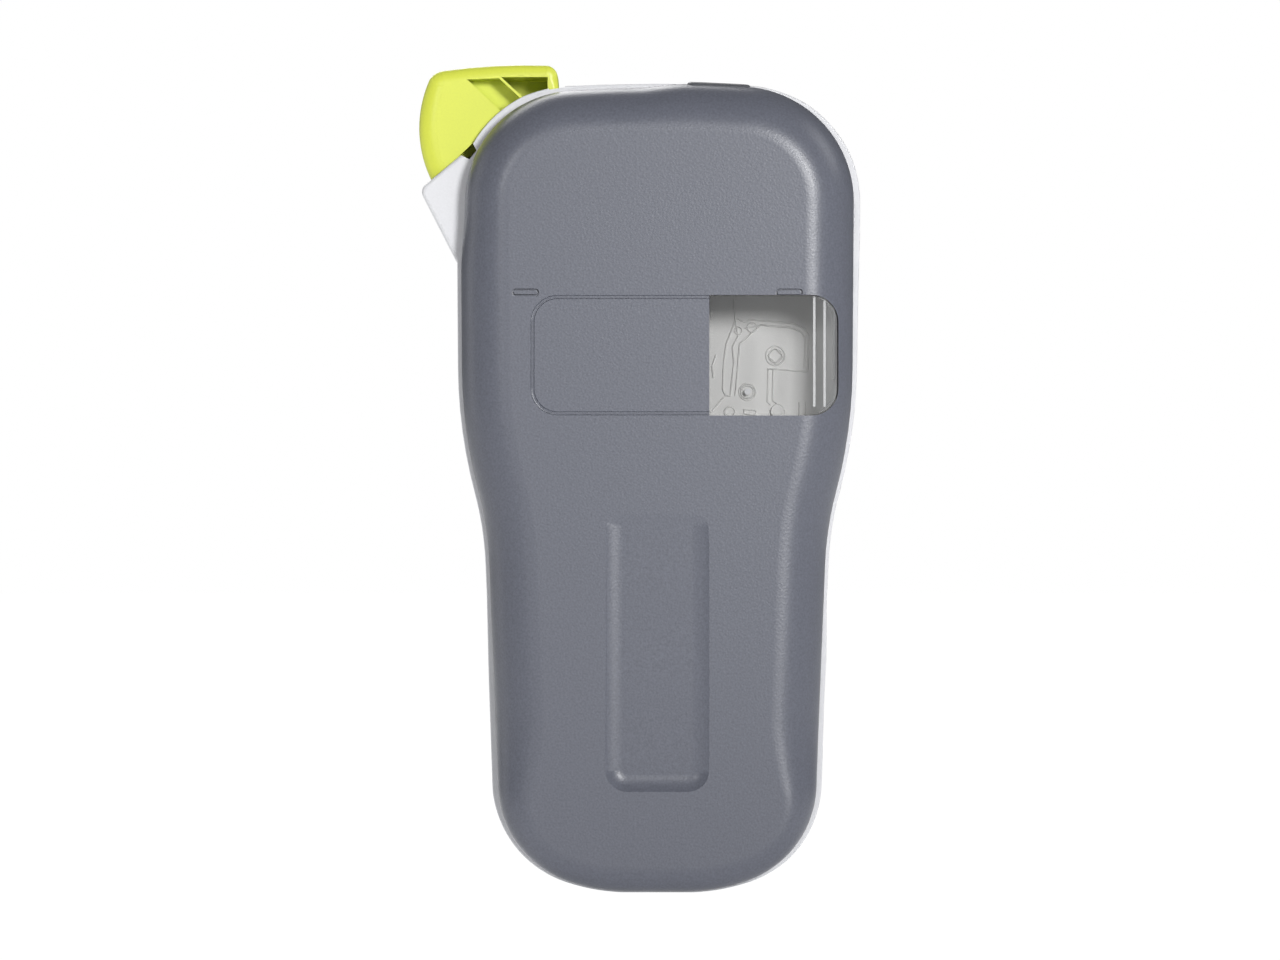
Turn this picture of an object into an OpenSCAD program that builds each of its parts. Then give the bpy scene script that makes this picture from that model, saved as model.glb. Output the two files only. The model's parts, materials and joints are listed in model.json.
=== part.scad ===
/* [Overall] */
// Depth of the flat back face behind the middle of the object
back_y = 29.5; // [28.5:0.5:30]
// Depth of the keyboard face in front of the middle, at the bottom end
front_low = 14.1; // [13.8:0.1:14.5]
// Lean of the keyboard face, in degrees
face_lean = 4.4; // [4.2:0.1:4.6]
// Depth at which the back cover meets the front housing
seam_y = 13; // [13:0.1:13.4]
// Wall thickness of both shells
wall = 2.2; // [1.9:0.1:2.3]
// How far the front housing stands out around the back cover
rim = 0.9; // [0.7:0.1:1.1]

/* [Outline of the back cover] */
// Half width of the flat that the object stands on
foot_flat = 7; // [6:0.5:8]
// Radius of the low arch beside that flat
arch_r = 48; // [46:1:52]
// Radius of the bottom corners
heel_r = 26; // [25:0.5:27]
// Length of the straight stretch beside the grip
grip_len = 56; // [55:0.5:57]
// Radius of the hollow below the head
waist_in_r = 83; // [80:1:86]
// Radius of the swell above the waist
waist_out_r = 125; // [120:1:128]
// Length of the straight stretch beside the head
head_len = 41.7; // [41:0.1:42]
// Radius of the top corners
shoulder_r = 29; // [28.5:0.1:29.4]
// Round-over of the back edge around the head and the grip
edge_r = 12; // [10:0.5:13]
// Round-over of the back edge at the bottom end
foot_edge_r = 6; // [5:0.5:8]
// Round-over of the keyboard edge
front_edge_r = 5; // [4:0.5:6]

/* [Window panel and grip] */
// Width of the grooved panel on the back
panel_w = 77.2; // [76:0.2:78]
// Height of the grooved panel
panel_h = 30.2; // [29:0.2:31]
// Width of the clear window at the end of the panel
window_w = 32.4; // [30:0.2:34]
// Width of the finger recess in the grip
recess_w = 26; // [24:0.5:28]
// Height of the finger recess
recess_h = 72; // [68:1:74]
// Depth of the finger recess
recess_depth = 1.6; // [1:0.1:1.8]

/* [Keys] */
// Spacing of the character keys across the face
key_pitch = 13; // [12.6:0.1:13.2]
// Spacing of the character keys up the face
row_pitch = 11.5; // [11:0.1:11.8]
// Clearance around each key
key_gap = 0.35; // [0.3:0.05:0.4]
// Travel of every key
key_travel = 1; // [0.8:0.1:1.2]

/* [Hidden] */
KEY_ROWS = 4;
KEY_COLUMNS = 5;
FUNCTION_KEYS = ["power_key", "print_key", "style_key", "size_key", "clear_key", "enter_key"];
CHARACTER_KEYS = [for (r = [1:KEY_ROWS], c = [1:KEY_COLUMNS]) str("key_", r, "_", c)];
FIXED_NODES = ["front_housing", "display_lens", "lcd_module", "keypad_sheet", "main_board",
    "inner_chassis", "battery_contacts", "batteries", "motor", "head_cable", "exit_guide",
    "lever_pin", "lever_spring", "head_spring", "dc_jack", "chassis_screws", "cassette_switch"];
MOVING_NODES = ["back_cover", "cover_window", "cover_latch", "cutter_lever", "blade_holder",
    "cutter_blade", "heat_sink", "print_head", "platen_roller", "idler_gear", "motor_pinion",
    "ribbon_spindle", "switch_pin", "direction_pad", "ok_key"];

// The centre line of the body lies beside the middle of the box, because the lever stands out
axis_x = -4.65;
base_z = rim;
true_round = 48;
fine_round = 24;
shell_round = 16;
gap = 0.3;

// Colours
white = [0.91, 0.91, 0.92];
grey = [0.46, 0.47, 0.51];
dark_grey = [0.36, 0.37, 0.40];
lime = [0.86, 0.92, 0.32];
steel = [0.72, 0.73, 0.75];

// ---- Outline: tangent runs, each [straight length or arc radius, heading at its end, steps]
runs = [
    [foot_flat, 0, 1], [arch_r, 18.7, 3], [heel_r, 87.7, 8], [grip_len, 87.7, 3],
    [waist_in_r, 75.1, 4], [waist_out_r, 89.6, 4], [head_len, 89.6, 3], [shoulder_r, 176, 10]];

function run_points(p, r) =
    let (s = r[1] > p[2] ? 1 : -1)
    r[1] == p[2]
    ? [for (k = [1:r[2]]) [p[0] + r[0] * k / r[2] * cos(p[2]), p[1] + r[0] * k / r[2] * sin(p[2]), p[2]]]
    : [for (k = [1:r[2]])
        let (a = p[2] + (r[1] - p[2]) * k / r[2])
        [p[0] + s * r[0] * (sin(a) - sin(p[2])), p[1] + s * r[0] * (cos(p[2]) - cos(a)), a]];

function walk(p, rs, i = 0) =
    i == len(rs) ? [] : let (q = run_points(p, rs[i])) concat(q, walk(q[len(q) - 1], rs, i + 1));

side = walk([0, base_z, 0], runs);
shoulder_end = side[len(side) - 1];
crown_r = shoulder_end[0] / sin(180 - shoulder_end[2]);
half = concat(side, run_points(shoulder_end, [crown_r, 180, 4]));
top_z = half[len(half) - 1][1];

// Outline points as [x, z, inward x, inward z]
right_half = [for (p = half) [p[0], p[1], -sin(p[2]), cos(p[2])]];
left_half = [for (i = [len(half) - 2:-1:0]) let (p = right_half[i]) [-p[0], p[1], -p[2], p[3]]];
outline = concat(right_half, left_half, [[0, base_z, 0, 1]]);

// Centre of the top corner on the lever side
shoulder_x = shoulder_end[0] - shoulder_r * sin(shoulder_end[2]);
shoulder_z = shoulder_end[1] + shoulder_r * cos(shoulder_end[2]);

function smooth(t) = let (u = max(0, min(1, t))) u * u * (3 - 2 * u);
function edge_at(z) = foot_edge_r + (edge_r - foot_edge_r) * smooth((z - 10) / 35);
function front_at(z) = -front_low - z * tan(face_lean);

// One ring of the back shell, a wall thickness t inside it, at angle a round the back edge
function back_ring(t, a) = [for (p = outline)
    let (r = edge_at(p[1]) - t, d = t + r * (1 - cos(a)))
    [p[0] + d * p[2], back_y - t - r * (1 - sin(a)), p[1] + d * p[3]]];

// One ring of the front shell in the same way; the keyboard face leans
function front_ring(t, a) = [for (p = outline)
    let (r = front_edge_r - t, d = t - rim + r * (1 - cos(a)), z = p[1] + d * p[3])
    [p[0] + d * p[2], front_at(z) + t + r * (1 - sin(a)), z]];

function flat_ring(d, y) = [for (p = outline) [p[0] + d * p[2], y, p[1] + d * p[3]]];
function flat_outline(d) = [for (p = outline) [p[0] + d * p[2], p[1] + d * p[3]]];

// Solid through rings that run from the back to the front
module loft(rings) {
    n = len(rings[0]);
    last = len(rings) - 1;
    points = [for (r = rings) each r];
    sides = [for (j = [0:last - 1], i = [0:n - 1])
        let (a = j * n + i, b = j * n + (i + 1) % n)
        each [[a, b + n, b], [a, a + n, b + n]]];
    caps = [[for (i = [0:n - 1]) i], [for (i = [n - 1:-1:0]) last * n + i]];
    polyhedron(points, concat(sides, caps));
}

module back_solid(t, low) {
    loft(concat([for (a = [90:-15:0]) back_ring(t, a)], [flat_ring(t, low)]));
}

module front_solid(t, high) {
    loft(concat([flat_ring(t - rim, high)], [for (a = [0:18:90]) front_ring(t, a)]));
}

// ---- Frames of reference
module on_axis() {
    translate([axis_x, 0, 0]) children();
}

// A flat shape in the plane of the face, given thickness from depth y0 to depth y1
module slab(y0, y1) {
    translate([0, y1, 0]) rotate([90, 0, 0]) linear_extrude(y1 - y0) children();
}

module rod(x, z, y0, y1, r, fn = true_round) {
    slab(y0, y1) translate([x, z]) circle(r, $fn = fn);
}

// Frame of the keyboard face: x across, z up the face, y inwards
module on_face() {
    translate([0, -front_low, 0]) rotate([face_lean, 0, 0]) children();
}

// Frame of the tape path: x outwards along the tape, z away from the anvil
tape_lean = 24.4;
exit_x = 54.4;
exit_z = 167.4;
tape_y = 3;
module on_tape() {
    translate([exit_x, tape_y, exit_z]) rotate([0, tape_lean, 0]) children();
}
function tape_point(x, z) = [exit_x + x * cos(tape_lean) + z * sin(tape_lean),
    exit_z - x * sin(tape_lean) + z * cos(tape_lean)];

// Rectangle with true round corners
module round_rect(w, h, r) {
    square([w - 2 * r, h], center = true);
    square([w, h - 2 * r], center = true);
    for (sx = [-1, 1], sz = [-1, 1])
        translate([sx * (w / 2 - r), sz * (h / 2 - r)]) circle(r, $fn = fine_round);
}

// Rectangle with round corners in a shell, where the corners may be many-sided
module soft_rect(w, h, r) {
    hull()
        for (sx = [-1, 1], sz = [-1, 1])
            translate([sx * (w / 2 - r), sz * (h / 2 - r)]) circle(r, $fn = shell_round);
}

// Round wire wound along +y from y0: radius, wire radius, pitch, turns
module coil(x, z, y0, r, wire, pitch, turns) {
    steps = 10;
    around = 6;
    count = round(turns * steps);
    points = [for (i = [0:count], k = [0:around - 1])
        let (a = i * 360 / steps, b = k * 360 / around, q = r + wire * cos(b))
        [x + q * cos(a), y0 + pitch * i / steps + wire * sin(b), z + q * sin(a)]];
    sides = [for (i = [0:count - 1], k = [0:around - 1])
        let (a = i * around + k, b = i * around + (k + 1) % around)
        each [[a, a + around, b + around], [a, b + around, b]]];
    caps = [[for (k = [0:around - 1]) k], [for (k = [around - 1:-1:0]) count * around + k]];
    polyhedron(points, concat(sides, caps));
}

// ---- Places on the body, x from the centre line
panel_x = -6.8;
panel_z = 135.3;
panel_r = 6.8;
window_x = panel_x - panel_w / 2 + window_w / 2;
window_split = window_x + window_w / 2;
recess_z = 62;
recess_r = 5.5;
bar_x = 32.9;
bar_z = 151;
bar_w = 7;
bar_h = 2.2;
latch_x = -15.5;
latch_w = 15.8;
latch_y = 16;
latch_t = 9;
bosses = [[-30, 18], [30, 18], [-38, 108], [38, 108], [38.6, 127], [-37, 186], [8, 193]];
boss_r = 2.8;
screw_r = 1.2;
screw_len = 9;
jack_y = -1;
jack_z = 56;
switch_x = -23;
switch_z = 126.5;
switch_r = 0.8;
cable_at = [18, 170];
cable_w = 9;
cable_t = 0.3;

// Cassette bay and battery bay
bay_floor = -4;
bay_x = -6.75;
bay_z = 148;
bay_w = 75.5;
bay_h = 60;
bay_wall = 1.4;
bay_top = 21;
step_z = 112;
cell_r = 5.2;
cell_len = 44.5;
cell_pitch = 11.4;
cell_y = 15;
cell_count = 6;
cell_low = 29;
cell_high = 78.8;
cell_floor = 8;
function floor_at(z) = z < step_z ? cell_floor : bay_floor;

// Lever, blade and head
lever_low = -11;
lever_high = 10.5;
pivot_x = 26;
pivot_z = 197.5;
pin_r = 1.5;
fit = 0.05;
blade_x = -7.25;
head_x = -18.6;
head_pin = tape_point(-31, 3.9);

// Gear train under the bay floor
tooth_module = 0.8;
gear_y0 = -10;
gear_y1 = -7;
platen_teeth = 14;
idler_teeth = 20;
pinion_teeth = 10;
ribbon_teeth = 24;
platen_r = 4;
platen_at = tape_point(head_x, -4.3);
idler_platen = 65.4;
idler_pinion = -45;
idler_ribbon = 192;
function pitch_r(teeth) = teeth * tooth_module / 2;
function beside(p, a, teeth) = p + (pitch_r(idler_teeth) + pitch_r(teeth)) * [cos(a), sin(a)];
idler_at = beside(platen_at, idler_platen + 180, platen_teeth);
pinion_at = beside(idler_at, idler_pinion, pinion_teeth);
ribbon_at = beside(idler_at, idler_ribbon, ribbon_teeth);
// Turn of a gear that meshes with the idler along angle a
function mesh_turn(a, teeth) = a + 180 - (0.5 - a * idler_teeth / 360) * 360 / teeth;

// Keyboard, measured up the leaning face
first_row = 29;
pad_u = 97;
pad_r = 12.5;
ok_r = 5.6;
function_places = [[-29, 119], [29, 119], [-28, 84], [28, 84], [-30.5, 98], [30.5, 98]];
function_w = 12.5;
function_h = 6.6;
char_w = 10;
char_h = 7.6;
lens_u = 157;
lens_w = 70;
lens_h = 44;
view_w = 58;
view_h = 27;
cap_proud = 1.3;
flange_y = 2.6;
flange_t = 0.8;
sheet_y = flange_y + flange_t + key_travel + 0.5;
board_y = sheet_y + 2.5;

// Lever outline, with its inner edge cut back by a circle about the shoulder
lever_start = [55.6, 177.2, 60];
lever_runs = [[30, 113, 9], [4.5, 179, 5], [26.6, 179, 1], [3, 264, 5]];
lever_path = walk(lever_start, lever_runs);
lever_inner_r = 26;

module lever_shape() {
    difference() {
        polygon(concat([[lever_start[0], lever_start[1]]], [for (p = lever_path) [p[0], p[1]]],
            [[24, 197], [35.8, 197]]));
        translate([shoulder_x, shoulder_z]) circle(lever_inner_r, $fn = true_round);
    }
    difference() {
        union() {
            translate([pivot_x, pivot_z]) circle(4.1, $fn = true_round);
            translate([pivot_x - 1, pivot_z]) square([4, 4]);
        }
        translate([pivot_x, pivot_z]) circle(pin_r + fit, $fn = true_round);
    }
}

wing_points = [[44, 158.4], [50.2, 158.4], [58.6, 176.6], [49, 186.2], [44, 186.2]];
wing_pocket = [[43, 161], [49.8, 161], [57, 176.9], [62, 182], [43, 200]];

// ---- Front housing
module front_shell() {
    difference() {
        front_solid(0, seam_y);
        front_solid(wall, seam_y + 1);
    }
}

module front_housing() {
    color(white) on_axis() difference() {
        union() {
            front_shell();
            slab(lever_low - 2.4, seam_y) polygon(wing_points);
            // Screw bosses and the post under the lever's pin
            intersection() {
                front_solid(0, seam_y);
                union() {
                    for (b = bosses)
                        rod(b[0], b[1], -30, floor_at(b[1]) - (b[1] < step_z ? 1.5 : 2), boss_r, fine_round);
                    rod(pivot_x, pivot_z, -30, lever_low - 0.4, 3.4, fine_round);
                    // Lug over the lever's pin
                    slab(lever_high + 0.5, seam_y) hull() {
                        translate([pivot_x, pivot_z]) circle(3.6, $fn = fine_round);
                        translate([pivot_x + 1.5, pivot_z + 5]) circle(3, $fn = fine_round);
                    }
                }
            }
        }
        slab(lever_low - 0.5, lever_high + 0.5) polygon(wing_pocket);
        // Room for the lever over its whole travel
        for (a = [0:2:8])
            translate([pivot_x, 0, pivot_z]) rotate([0, a, 0]) translate([-pivot_x, 0, -pivot_z])
                slab(lever_low - 0.4, lever_high + 0.4) offset(delta = 0.5) lever_shape();
        rod(pivot_x, pivot_z, -18, seam_y - 0.8, pin_r + 0.1, fine_round);
        for (b = bosses)
            rod(b[0], b[1], floor_at(b[1]) - screw_len - 1, seam_y, screw_r - 0.1, fine_round);
        // Slot for the tape
        on_tape() translate([-6, -6.8, -0.9]) cube([12, 13.6, 1.8]);
        // Key holes and the display
        on_face() {
            for (k = function_places)
                slab(-2, wall + 2) translate(k) soft_rect(function_w, function_h, function_h / 2 - 0.1);
            for (r = [0:KEY_ROWS - 1], c = [0:KEY_COLUMNS - 1])
                slab(-2, wall + 2) translate([(c - 2) * key_pitch, first_row + r * row_pitch])
                    soft_rect(char_w, char_h, 2.4);
            slab(-2, wall + 2) translate([0, pad_u]) circle(pad_r, $fn = true_round);
            slab(-2, 1.2) translate([0, lens_u]) soft_rect(lens_w, lens_h, 6);
            slab(-2, wall + 2) translate([0, lens_u]) soft_rect(view_w + 3, view_h + 3, 2);
        }
        // Opening for the power jack
        translate([-45, jack_y, jack_z]) rotate([0, 90, 0]) cylinder(r = 4.1, h = 12, center = true, $fn = true_round);
    }
}

// ---- Back cover, window and latch
module panel_shape() {
    translate([panel_x, panel_z]) soft_rect(panel_w, panel_h, panel_r);
}

module window_shape(d) {
    intersection() {
        translate([panel_x, panel_z]) soft_rect(panel_w - 2 * d, panel_h - 2 * d, panel_r - d);
        translate([-60, 100]) square([60 + window_split - d, 80]);
    }
}

module recess_cut(floor_y) {
    hull() {
        slab(back_y, back_y + 1) translate([0, recess_z]) soft_rect(recess_w, recess_h, recess_r);
        slab(floor_y, back_y) translate([0, recess_z - 4]) soft_rect(recess_w - 7, recess_h - 18, recess_r - 1.5);
    }
}

module back_cover() {
    color(grey) on_axis() difference() {
        back_solid(0, seam_y);
        difference() {
            back_solid(wall, seam_y - 1);
            // Thicker wall behind the finger recess
            slab(back_y - recess_depth - wall, back_y)
                translate([0, recess_z]) soft_rect(recess_w + 2, recess_h + 2, recess_r);
        }
        recess_cut(back_y - recess_depth);
        // Groove around the panel
        slab(back_y - 0.5, back_y + 1) difference() {
            panel_shape();
            translate([panel_x, panel_z]) soft_rect(panel_w - 2, panel_h - 2, panel_r - 1);
        }
        slab(seam_y, back_y + 1) window_shape(0.9);
        // Outline of the two small bars above the panel
        for (s = [-1, 1])
            slab(back_y - 0.5, back_y + 1) translate([s * bar_x, bar_z]) difference() {
                soft_rect(bar_w, bar_h, bar_h / 2 - 0.05);
                soft_rect(bar_w - 0.8, bar_h - 0.8, bar_h / 2 - 0.45);
            }
        // Slot for the latch
        translate([latch_x - latch_w / 2 - gap, latch_y - gap, top_z - 8])
            cube([latch_w + 2 * gap, latch_t + 2 * gap, 12]);
    }
}

module cover_window() {
    color([0.85, 0.88, 0.92, 0.35]) on_axis() intersection() {
        difference() {
            back_solid(0.05, seam_y + 2);
            back_solid(1.8, seam_y + 1);
        }
        slab(seam_y + 2, back_y + 1) window_shape(0.95);
    }
}

module cover_latch() {
    color(dark_grey) on_axis() {
        translate([latch_x, latch_y + latch_t / 2, top_z - 1.6])
            linear_extrude(2.2) round_rect(latch_w, latch_t, 2);
        translate([latch_x, latch_y + latch_t / 2 - 1, top_z - 5])
            linear_extrude(3.5) round_rect(latch_w - 3, latch_t - 4, 1.5);
    }
}

// ---- Cutter
module cutter_lever() {
    color(lime) on_axis() difference() {
        slab(lever_low, lever_high) lever_shape();
        // Pocket and opening in the back face
        slab(lever_high - 2.5, lever_high + 1)
            polygon([[44.9, 203.6], [39.9, 204.6], [35.5, 202], [38.6, 200.1]]);
        slab(lever_high - 9, lever_high + 1)
            polygon([[36.8, 204.7], [25.8, 204.7], [25.8, 203.4], [33, 202.4]]);
        // Room for the return spring
        rod(pivot_x, pivot_z, lever_low - 1, lever_low + 4, 4.6);
    }
}

module lever_pin() {
    color(steel) on_axis() rod(pivot_x, pivot_z, -17.8, seam_y - 1, pin_r);
}

module lever_spring() {
    color(steel) on_axis() coil(pivot_x, pivot_z, lever_low + 0.1, 2, 0.25, 0.7, 4);
}

module blade_holder() {
    color(dark_grey) on_axis() on_tape() difference() {
        translate([blade_x - 2.6, -8, 5]) cube([5.2, 15, 4.3]);
        translate([blade_x - 0.3, -9, 4]) cube([0.6, 17, 4]);
    }
}

module cutter_blade() {
    color(steel) on_axis() on_tape() translate([blade_x - 0.25, -7.4, 3])
        cube([0.5, 14.2, 4.9]);
}

module exit_guide() {
    color(white) on_axis() on_tape() difference() {
        translate([-11.5, -8, -4.6]) cube([9.6, 15.6, 3.8]);
        translate([blade_x - 0.8, -9, -3.4]) cube([1.6, 18, 4]);
    }
}

// ---- Printing
module heat_sink() {
    color([0.80, 0.81, 0.82]) on_axis() difference() {
        union() {
            on_tape() translate([-31, -6.2, 3.2]) cube([17, 13, 1.4]);
            rod(head_pin[0], head_pin[1], -3.4, tape_y + 6.5, 2.6);
        }
        rod(head_pin[0], head_pin[1], -5, tape_y + 8, 1.2 + fit);
    }
}

module print_head() {
    color([0.30, 0.20, 0.16]) on_axis() on_tape() {
        translate([head_x - 2.2, -6, 1.4]) cube([5, 12.4, 1.8]);
        translate([head_x, 0.2, 0.9]) rotate([90, 0, 0])
            cylinder(r = 0.6, h = 12, center = true, $fn = fine_round);
    }
}

module head_spring() {
    color(steel) on_axis() coil(head_pin[0], head_pin[1], tape_y + 7.1, 1.9, 0.25, 0.6, 3);
}

module head_cable() {
    color([0.86, 0.62, 0.28]) on_axis() slab(-14.5, -4.2)
        translate(cable_at) square([cable_w, cable_t]);
}

module gear_shape(teeth, bore_r) {
    r = pitch_r(teeth);
    difference() {
        union() {
            circle(r - tooth_module, $fn = true_round);
            for (i = [0:teeth - 1])
                rotate(i * 360 / teeth)
                    polygon([[r - 1.3, -0.66], [r + 0.62, -0.26], [r + 0.62, 0.26], [r - 1.3, 0.66]]);
        }
        circle(bore_r, $fn = true_round);
    }
}

module gear(at, teeth, turn, bore_r) {
    slab(gear_y0, gear_y1) translate(at) rotate(turn) gear_shape(teeth, bore_r);
}

module platen_roller() {
    color([0.16, 0.16, 0.17]) on_axis() {
        gear(platen_at, platen_teeth, mesh_turn(idler_platen, platen_teeth), 1);
        rod(platen_at[0], platen_at[1], gear_y0, 12, 1.2);
        rod(platen_at[0], platen_at[1], -3.2, 9.4, platen_r);
    }
}

module idler_gear() {
    color(white) on_axis() gear(idler_at, idler_teeth, 0, 1.5 + fit);
}

module motor_pinion() {
    color([0.78, 0.68, 0.38]) on_axis() {
        gear(pinion_at, pinion_teeth, mesh_turn(idler_pinion, pinion_teeth), 0.7);
        rod(pinion_at[0], pinion_at[1], -12, gear_y1, 0.9);
    }
}

module ribbon_spindle() {
    color(white) on_axis() {
        gear(ribbon_at, ribbon_teeth, mesh_turn(idler_ribbon, ribbon_teeth), 1.5);
        rod(ribbon_at[0], ribbon_at[1], gear_y0, 9, 2);
        for (i = [0:5])
            translate([ribbon_at[0], 3, ribbon_at[1]]) rotate([0, i * 60, 0])
                translate([1.5, -4, -0.5]) cube([1.7, 8, 1]);
    }
}

module motor() {
    color(steel) on_axis() difference() {
        rod(pinion_at[0], pinion_at[1], -22, -10.6, 6.5);
        rod(pinion_at[0], pinion_at[1], -12.4, -10, 0.9 + fit);
    }
}

// ---- Inside frame
module inner_chassis() {
    color([0.86, 0.86, 0.85]) on_axis() difference() {
        union() {
            // Head floor and grip floor, joined by a step
            slab(bay_floor - 2, bay_floor) intersection() {
                polygon(flat_outline(3.4));
                translate([-60, step_z]) square([120, 100]);
            }
            slab(cell_floor - 1.5, cell_floor) intersection() {
                polygon(flat_outline(3.4));
                translate([-60, 0]) square([120, step_z + 1.5]);
            }
            slab(bay_floor - 2, cell_floor) translate([-42, step_z]) square([84, 1.5]);
            // Cassette bay walls
            slab(bay_floor - 1, bay_top) intersection() {
                polygon(flat_outline(4.6));
                difference() {
                    translate([bay_x, bay_z]) round_rect(bay_w + 2 * bay_wall, bay_h + 2 * bay_wall, 8);
                    translate([bay_x, bay_z]) round_rect(bay_w, bay_h, 6.6);
                }
            }
            // Battery bay walls and cradle ribs
            slab(cell_floor - 1, 22) difference() {
                translate([0, (cell_low + cell_high) / 2])
                    square([cell_count * cell_pitch + 3.4, cell_high - cell_low + 4], center = true);
                translate([0, (cell_low + cell_high) / 2])
                    square([cell_count * cell_pitch + 0.6, cell_high - cell_low + 1], center = true);
            }
            for (z = [40, 66])
                translate([-cell_count * cell_pitch / 2 - 0.5, cell_floor - 1, z])
                    cube([cell_count * cell_pitch + 1, 5.5, 2]);
            // Posts for the idler, the head and the roller
            rod(idler_at[0], idler_at[1], gear_y0 - 0.4, bay_floor - 1, 1.5);
            rod(head_pin[0], head_pin[1], bay_floor - 1, 12, 1.2);
            // Locating posts for a cassette
            for (p = [[-30.6, 121.6], [-34, 170], [18, 124]])
                rod(p[0], p[1], bay_floor - 1, bay_floor + 1.5, 1.6);
        }
        for (i = [0:cell_count - 1])
            translate([(i - (cell_count - 1) / 2) * cell_pitch, cell_y, 54])
                cylinder(r = cell_r + 0.15, h = 46, center = true, $fn = true_round);
        // Corner kept clear for the lever, the blade and the exit
        slab(-30, 30) difference() {
            translate([shoulder_x, shoulder_z]) square([50, 50]);
            translate([shoulder_x, shoulder_z]) circle(18.5, $fn = true_round);
        }
        // Slot for the head's cable
        slab(-30, bay_floor + 1) translate(cable_at - [0.5, 0.5]) square([cable_w + 1, cable_t + 1]);
        slab(-30, 30) translate([41, 157.5]) square([30, 40]);
        slab(bay_floor, 30) translate([31.2, 163]) square([20, 16]);
        rod(platen_at[0], platen_at[1], -30, 30, 1.9);
        rod(ribbon_at[0], ribbon_at[1], -30, 30, 2 + fit);
        rod(switch_x, switch_z, -30, 30, switch_r + fit);
        for (b = bosses)
            rod(b[0], b[1], -30, 30, screw_r + 0.3, fine_round);
        // Ribs and walls stop short of the screw heads
        for (b = bosses)
            rod(b[0], b[1], floor_at(b[1]), 30, 3.2, fine_round);
    }
}

module cassette_switch() {
    color(dark_grey) on_axis() slab(-11.5, bay_floor - 2.2) difference() {
        translate([switch_x, switch_z]) square([7, 5], center = true);
        translate([switch_x, switch_z]) circle(switch_r + fit, $fn = fine_round);
    }
}

module switch_pin() {
    color(white) on_axis() rod(switch_x, switch_z, -9.8, bay_floor + 2, switch_r);
}

module cell(x, up) {
    flip = up ? 0 : 1;
    z0 = up ? cell_low + 4.9 : cell_high - 4.9;
    translate([x, cell_y, z0]) mirror([0, 0, flip]) {
        cylinder(r = cell_r, h = cell_len - 1, $fn = true_round);
        cylinder(r = 1.9, h = cell_len, $fn = true_round);
    }
}

module batteries() {
    color([0.20, 0.22, 0.26]) on_axis()
        for (i = [0:cell_count - 1])
            cell((i - (cell_count - 1) / 2) * cell_pitch, i % 2 == 0);
}

module battery_contacts() {
    color(steel) on_axis() for (i = [0:cell_count - 1]) {
        x = (i - (cell_count - 1) / 2) * cell_pitch;
        up = i % 2 == 0;
        for (z = [cell_low - 0.4, cell_high])
            translate([x - 4.6, cell_y - 5, z]) cube([9.2, 11, 0.4]);
        translate([x, cell_y, up ? cell_low - 0.1 : cell_high + 0.1]) rotate([up ? 90 : -90, 0, 0])
            coil(0, 0, 0, 2.9, 0.3, 1.1, 4);
    }
}

module chassis_screws() {
    color(steel) on_axis() for (b = bosses) {
        seat = floor_at(b[1]);
        rod(b[0], b[1], seat - screw_len, seat + 0.2, screw_r - 0.15, fine_round);
        difference() {
            rod(b[0], b[1], seat, seat + 1.6, 2.4, fine_round);
            for (a = [0, 90])
                translate([b[0], seat + 1.4, b[1]]) rotate([0, a, 0]) cube([2.8, 1, 0.6], center = true);
        }
    }
}

module dc_jack() {
    color([0.14, 0.14, 0.15]) on_axis() translate([-41.9, jack_y, jack_z]) rotate([0, 90, 0]) {
        difference() {
            union() {
                translate([-4.5, -4.5, 2.2]) cube([9, 9, 9]);
                cylinder(r = 3.9, h = 3, $fn = true_round);
            }
            translate([0, 0, -1]) cylinder(r = 2.8, h = 10.5, $fn = true_round);
        }
        cylinder(r = 0.9, h = 10, $fn = true_round);
    }
}

// ---- Board, display and keypad
module main_board() {
    color([0.10, 0.36, 0.22]) on_axis() on_face() {
        slab(board_y, board_y + 1.2) translate([0, 75]) square([64, 100], center = true);
        for (p = [[-14, 60], [12, 96], [14, 52]])
            slab(board_y + 1.1, board_y + 2.8) translate(p) square([9, 9], center = true);
    }
}

module lcd_module() {
    color([0.62, 0.67, 0.60]) on_axis() on_face() {
        slab(wall + 0.4, wall + 3) translate([0, lens_u]) square([view_w + 2, view_h + 6], center = true);
        slab(wall + 2.9, wall + 4.2) translate([0, lens_u]) square([56, 38], center = true);
    }
}

module display_lens() {
    color([0.12, 0.13, 0.15, 0.5]) on_axis() on_face()
        slab(0.05, 1.15) translate([0, lens_u]) round_rect(lens_w - 0.4, lens_h - 0.4, 5.8);
}

module keypad_sheet() {
    color([0.55, 0.56, 0.58]) on_axis() on_face()
        slab(sheet_y, sheet_y + 1.2) translate([0, 75]) round_rect(69, 100, 8);
}

// Cap that stands in its hole, with a flange under the face
module key_cap(w, h, r) {
    slab(-cap_proud, flange_y + 0.1) round_rect(w - 2 * key_gap, h - 2 * key_gap, r - key_gap);
    slab(flange_y, flange_y + flange_t) round_rect(w + 1, h + 1, r);
}

module function_key(i) {
    color(dark_grey) on_axis() on_face()
        translate([function_places[i][0], 0, function_places[i][1]])
            key_cap(function_w, function_h, function_h / 2 - 0.1);
}

module character_key(r, c) {
    color(grey) on_axis() on_face()
        translate([(c - 2) * key_pitch, 0, first_row + (KEY_ROWS - 1 - r) * row_pitch])
            key_cap(char_w, char_h, 2.4);
}

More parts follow.
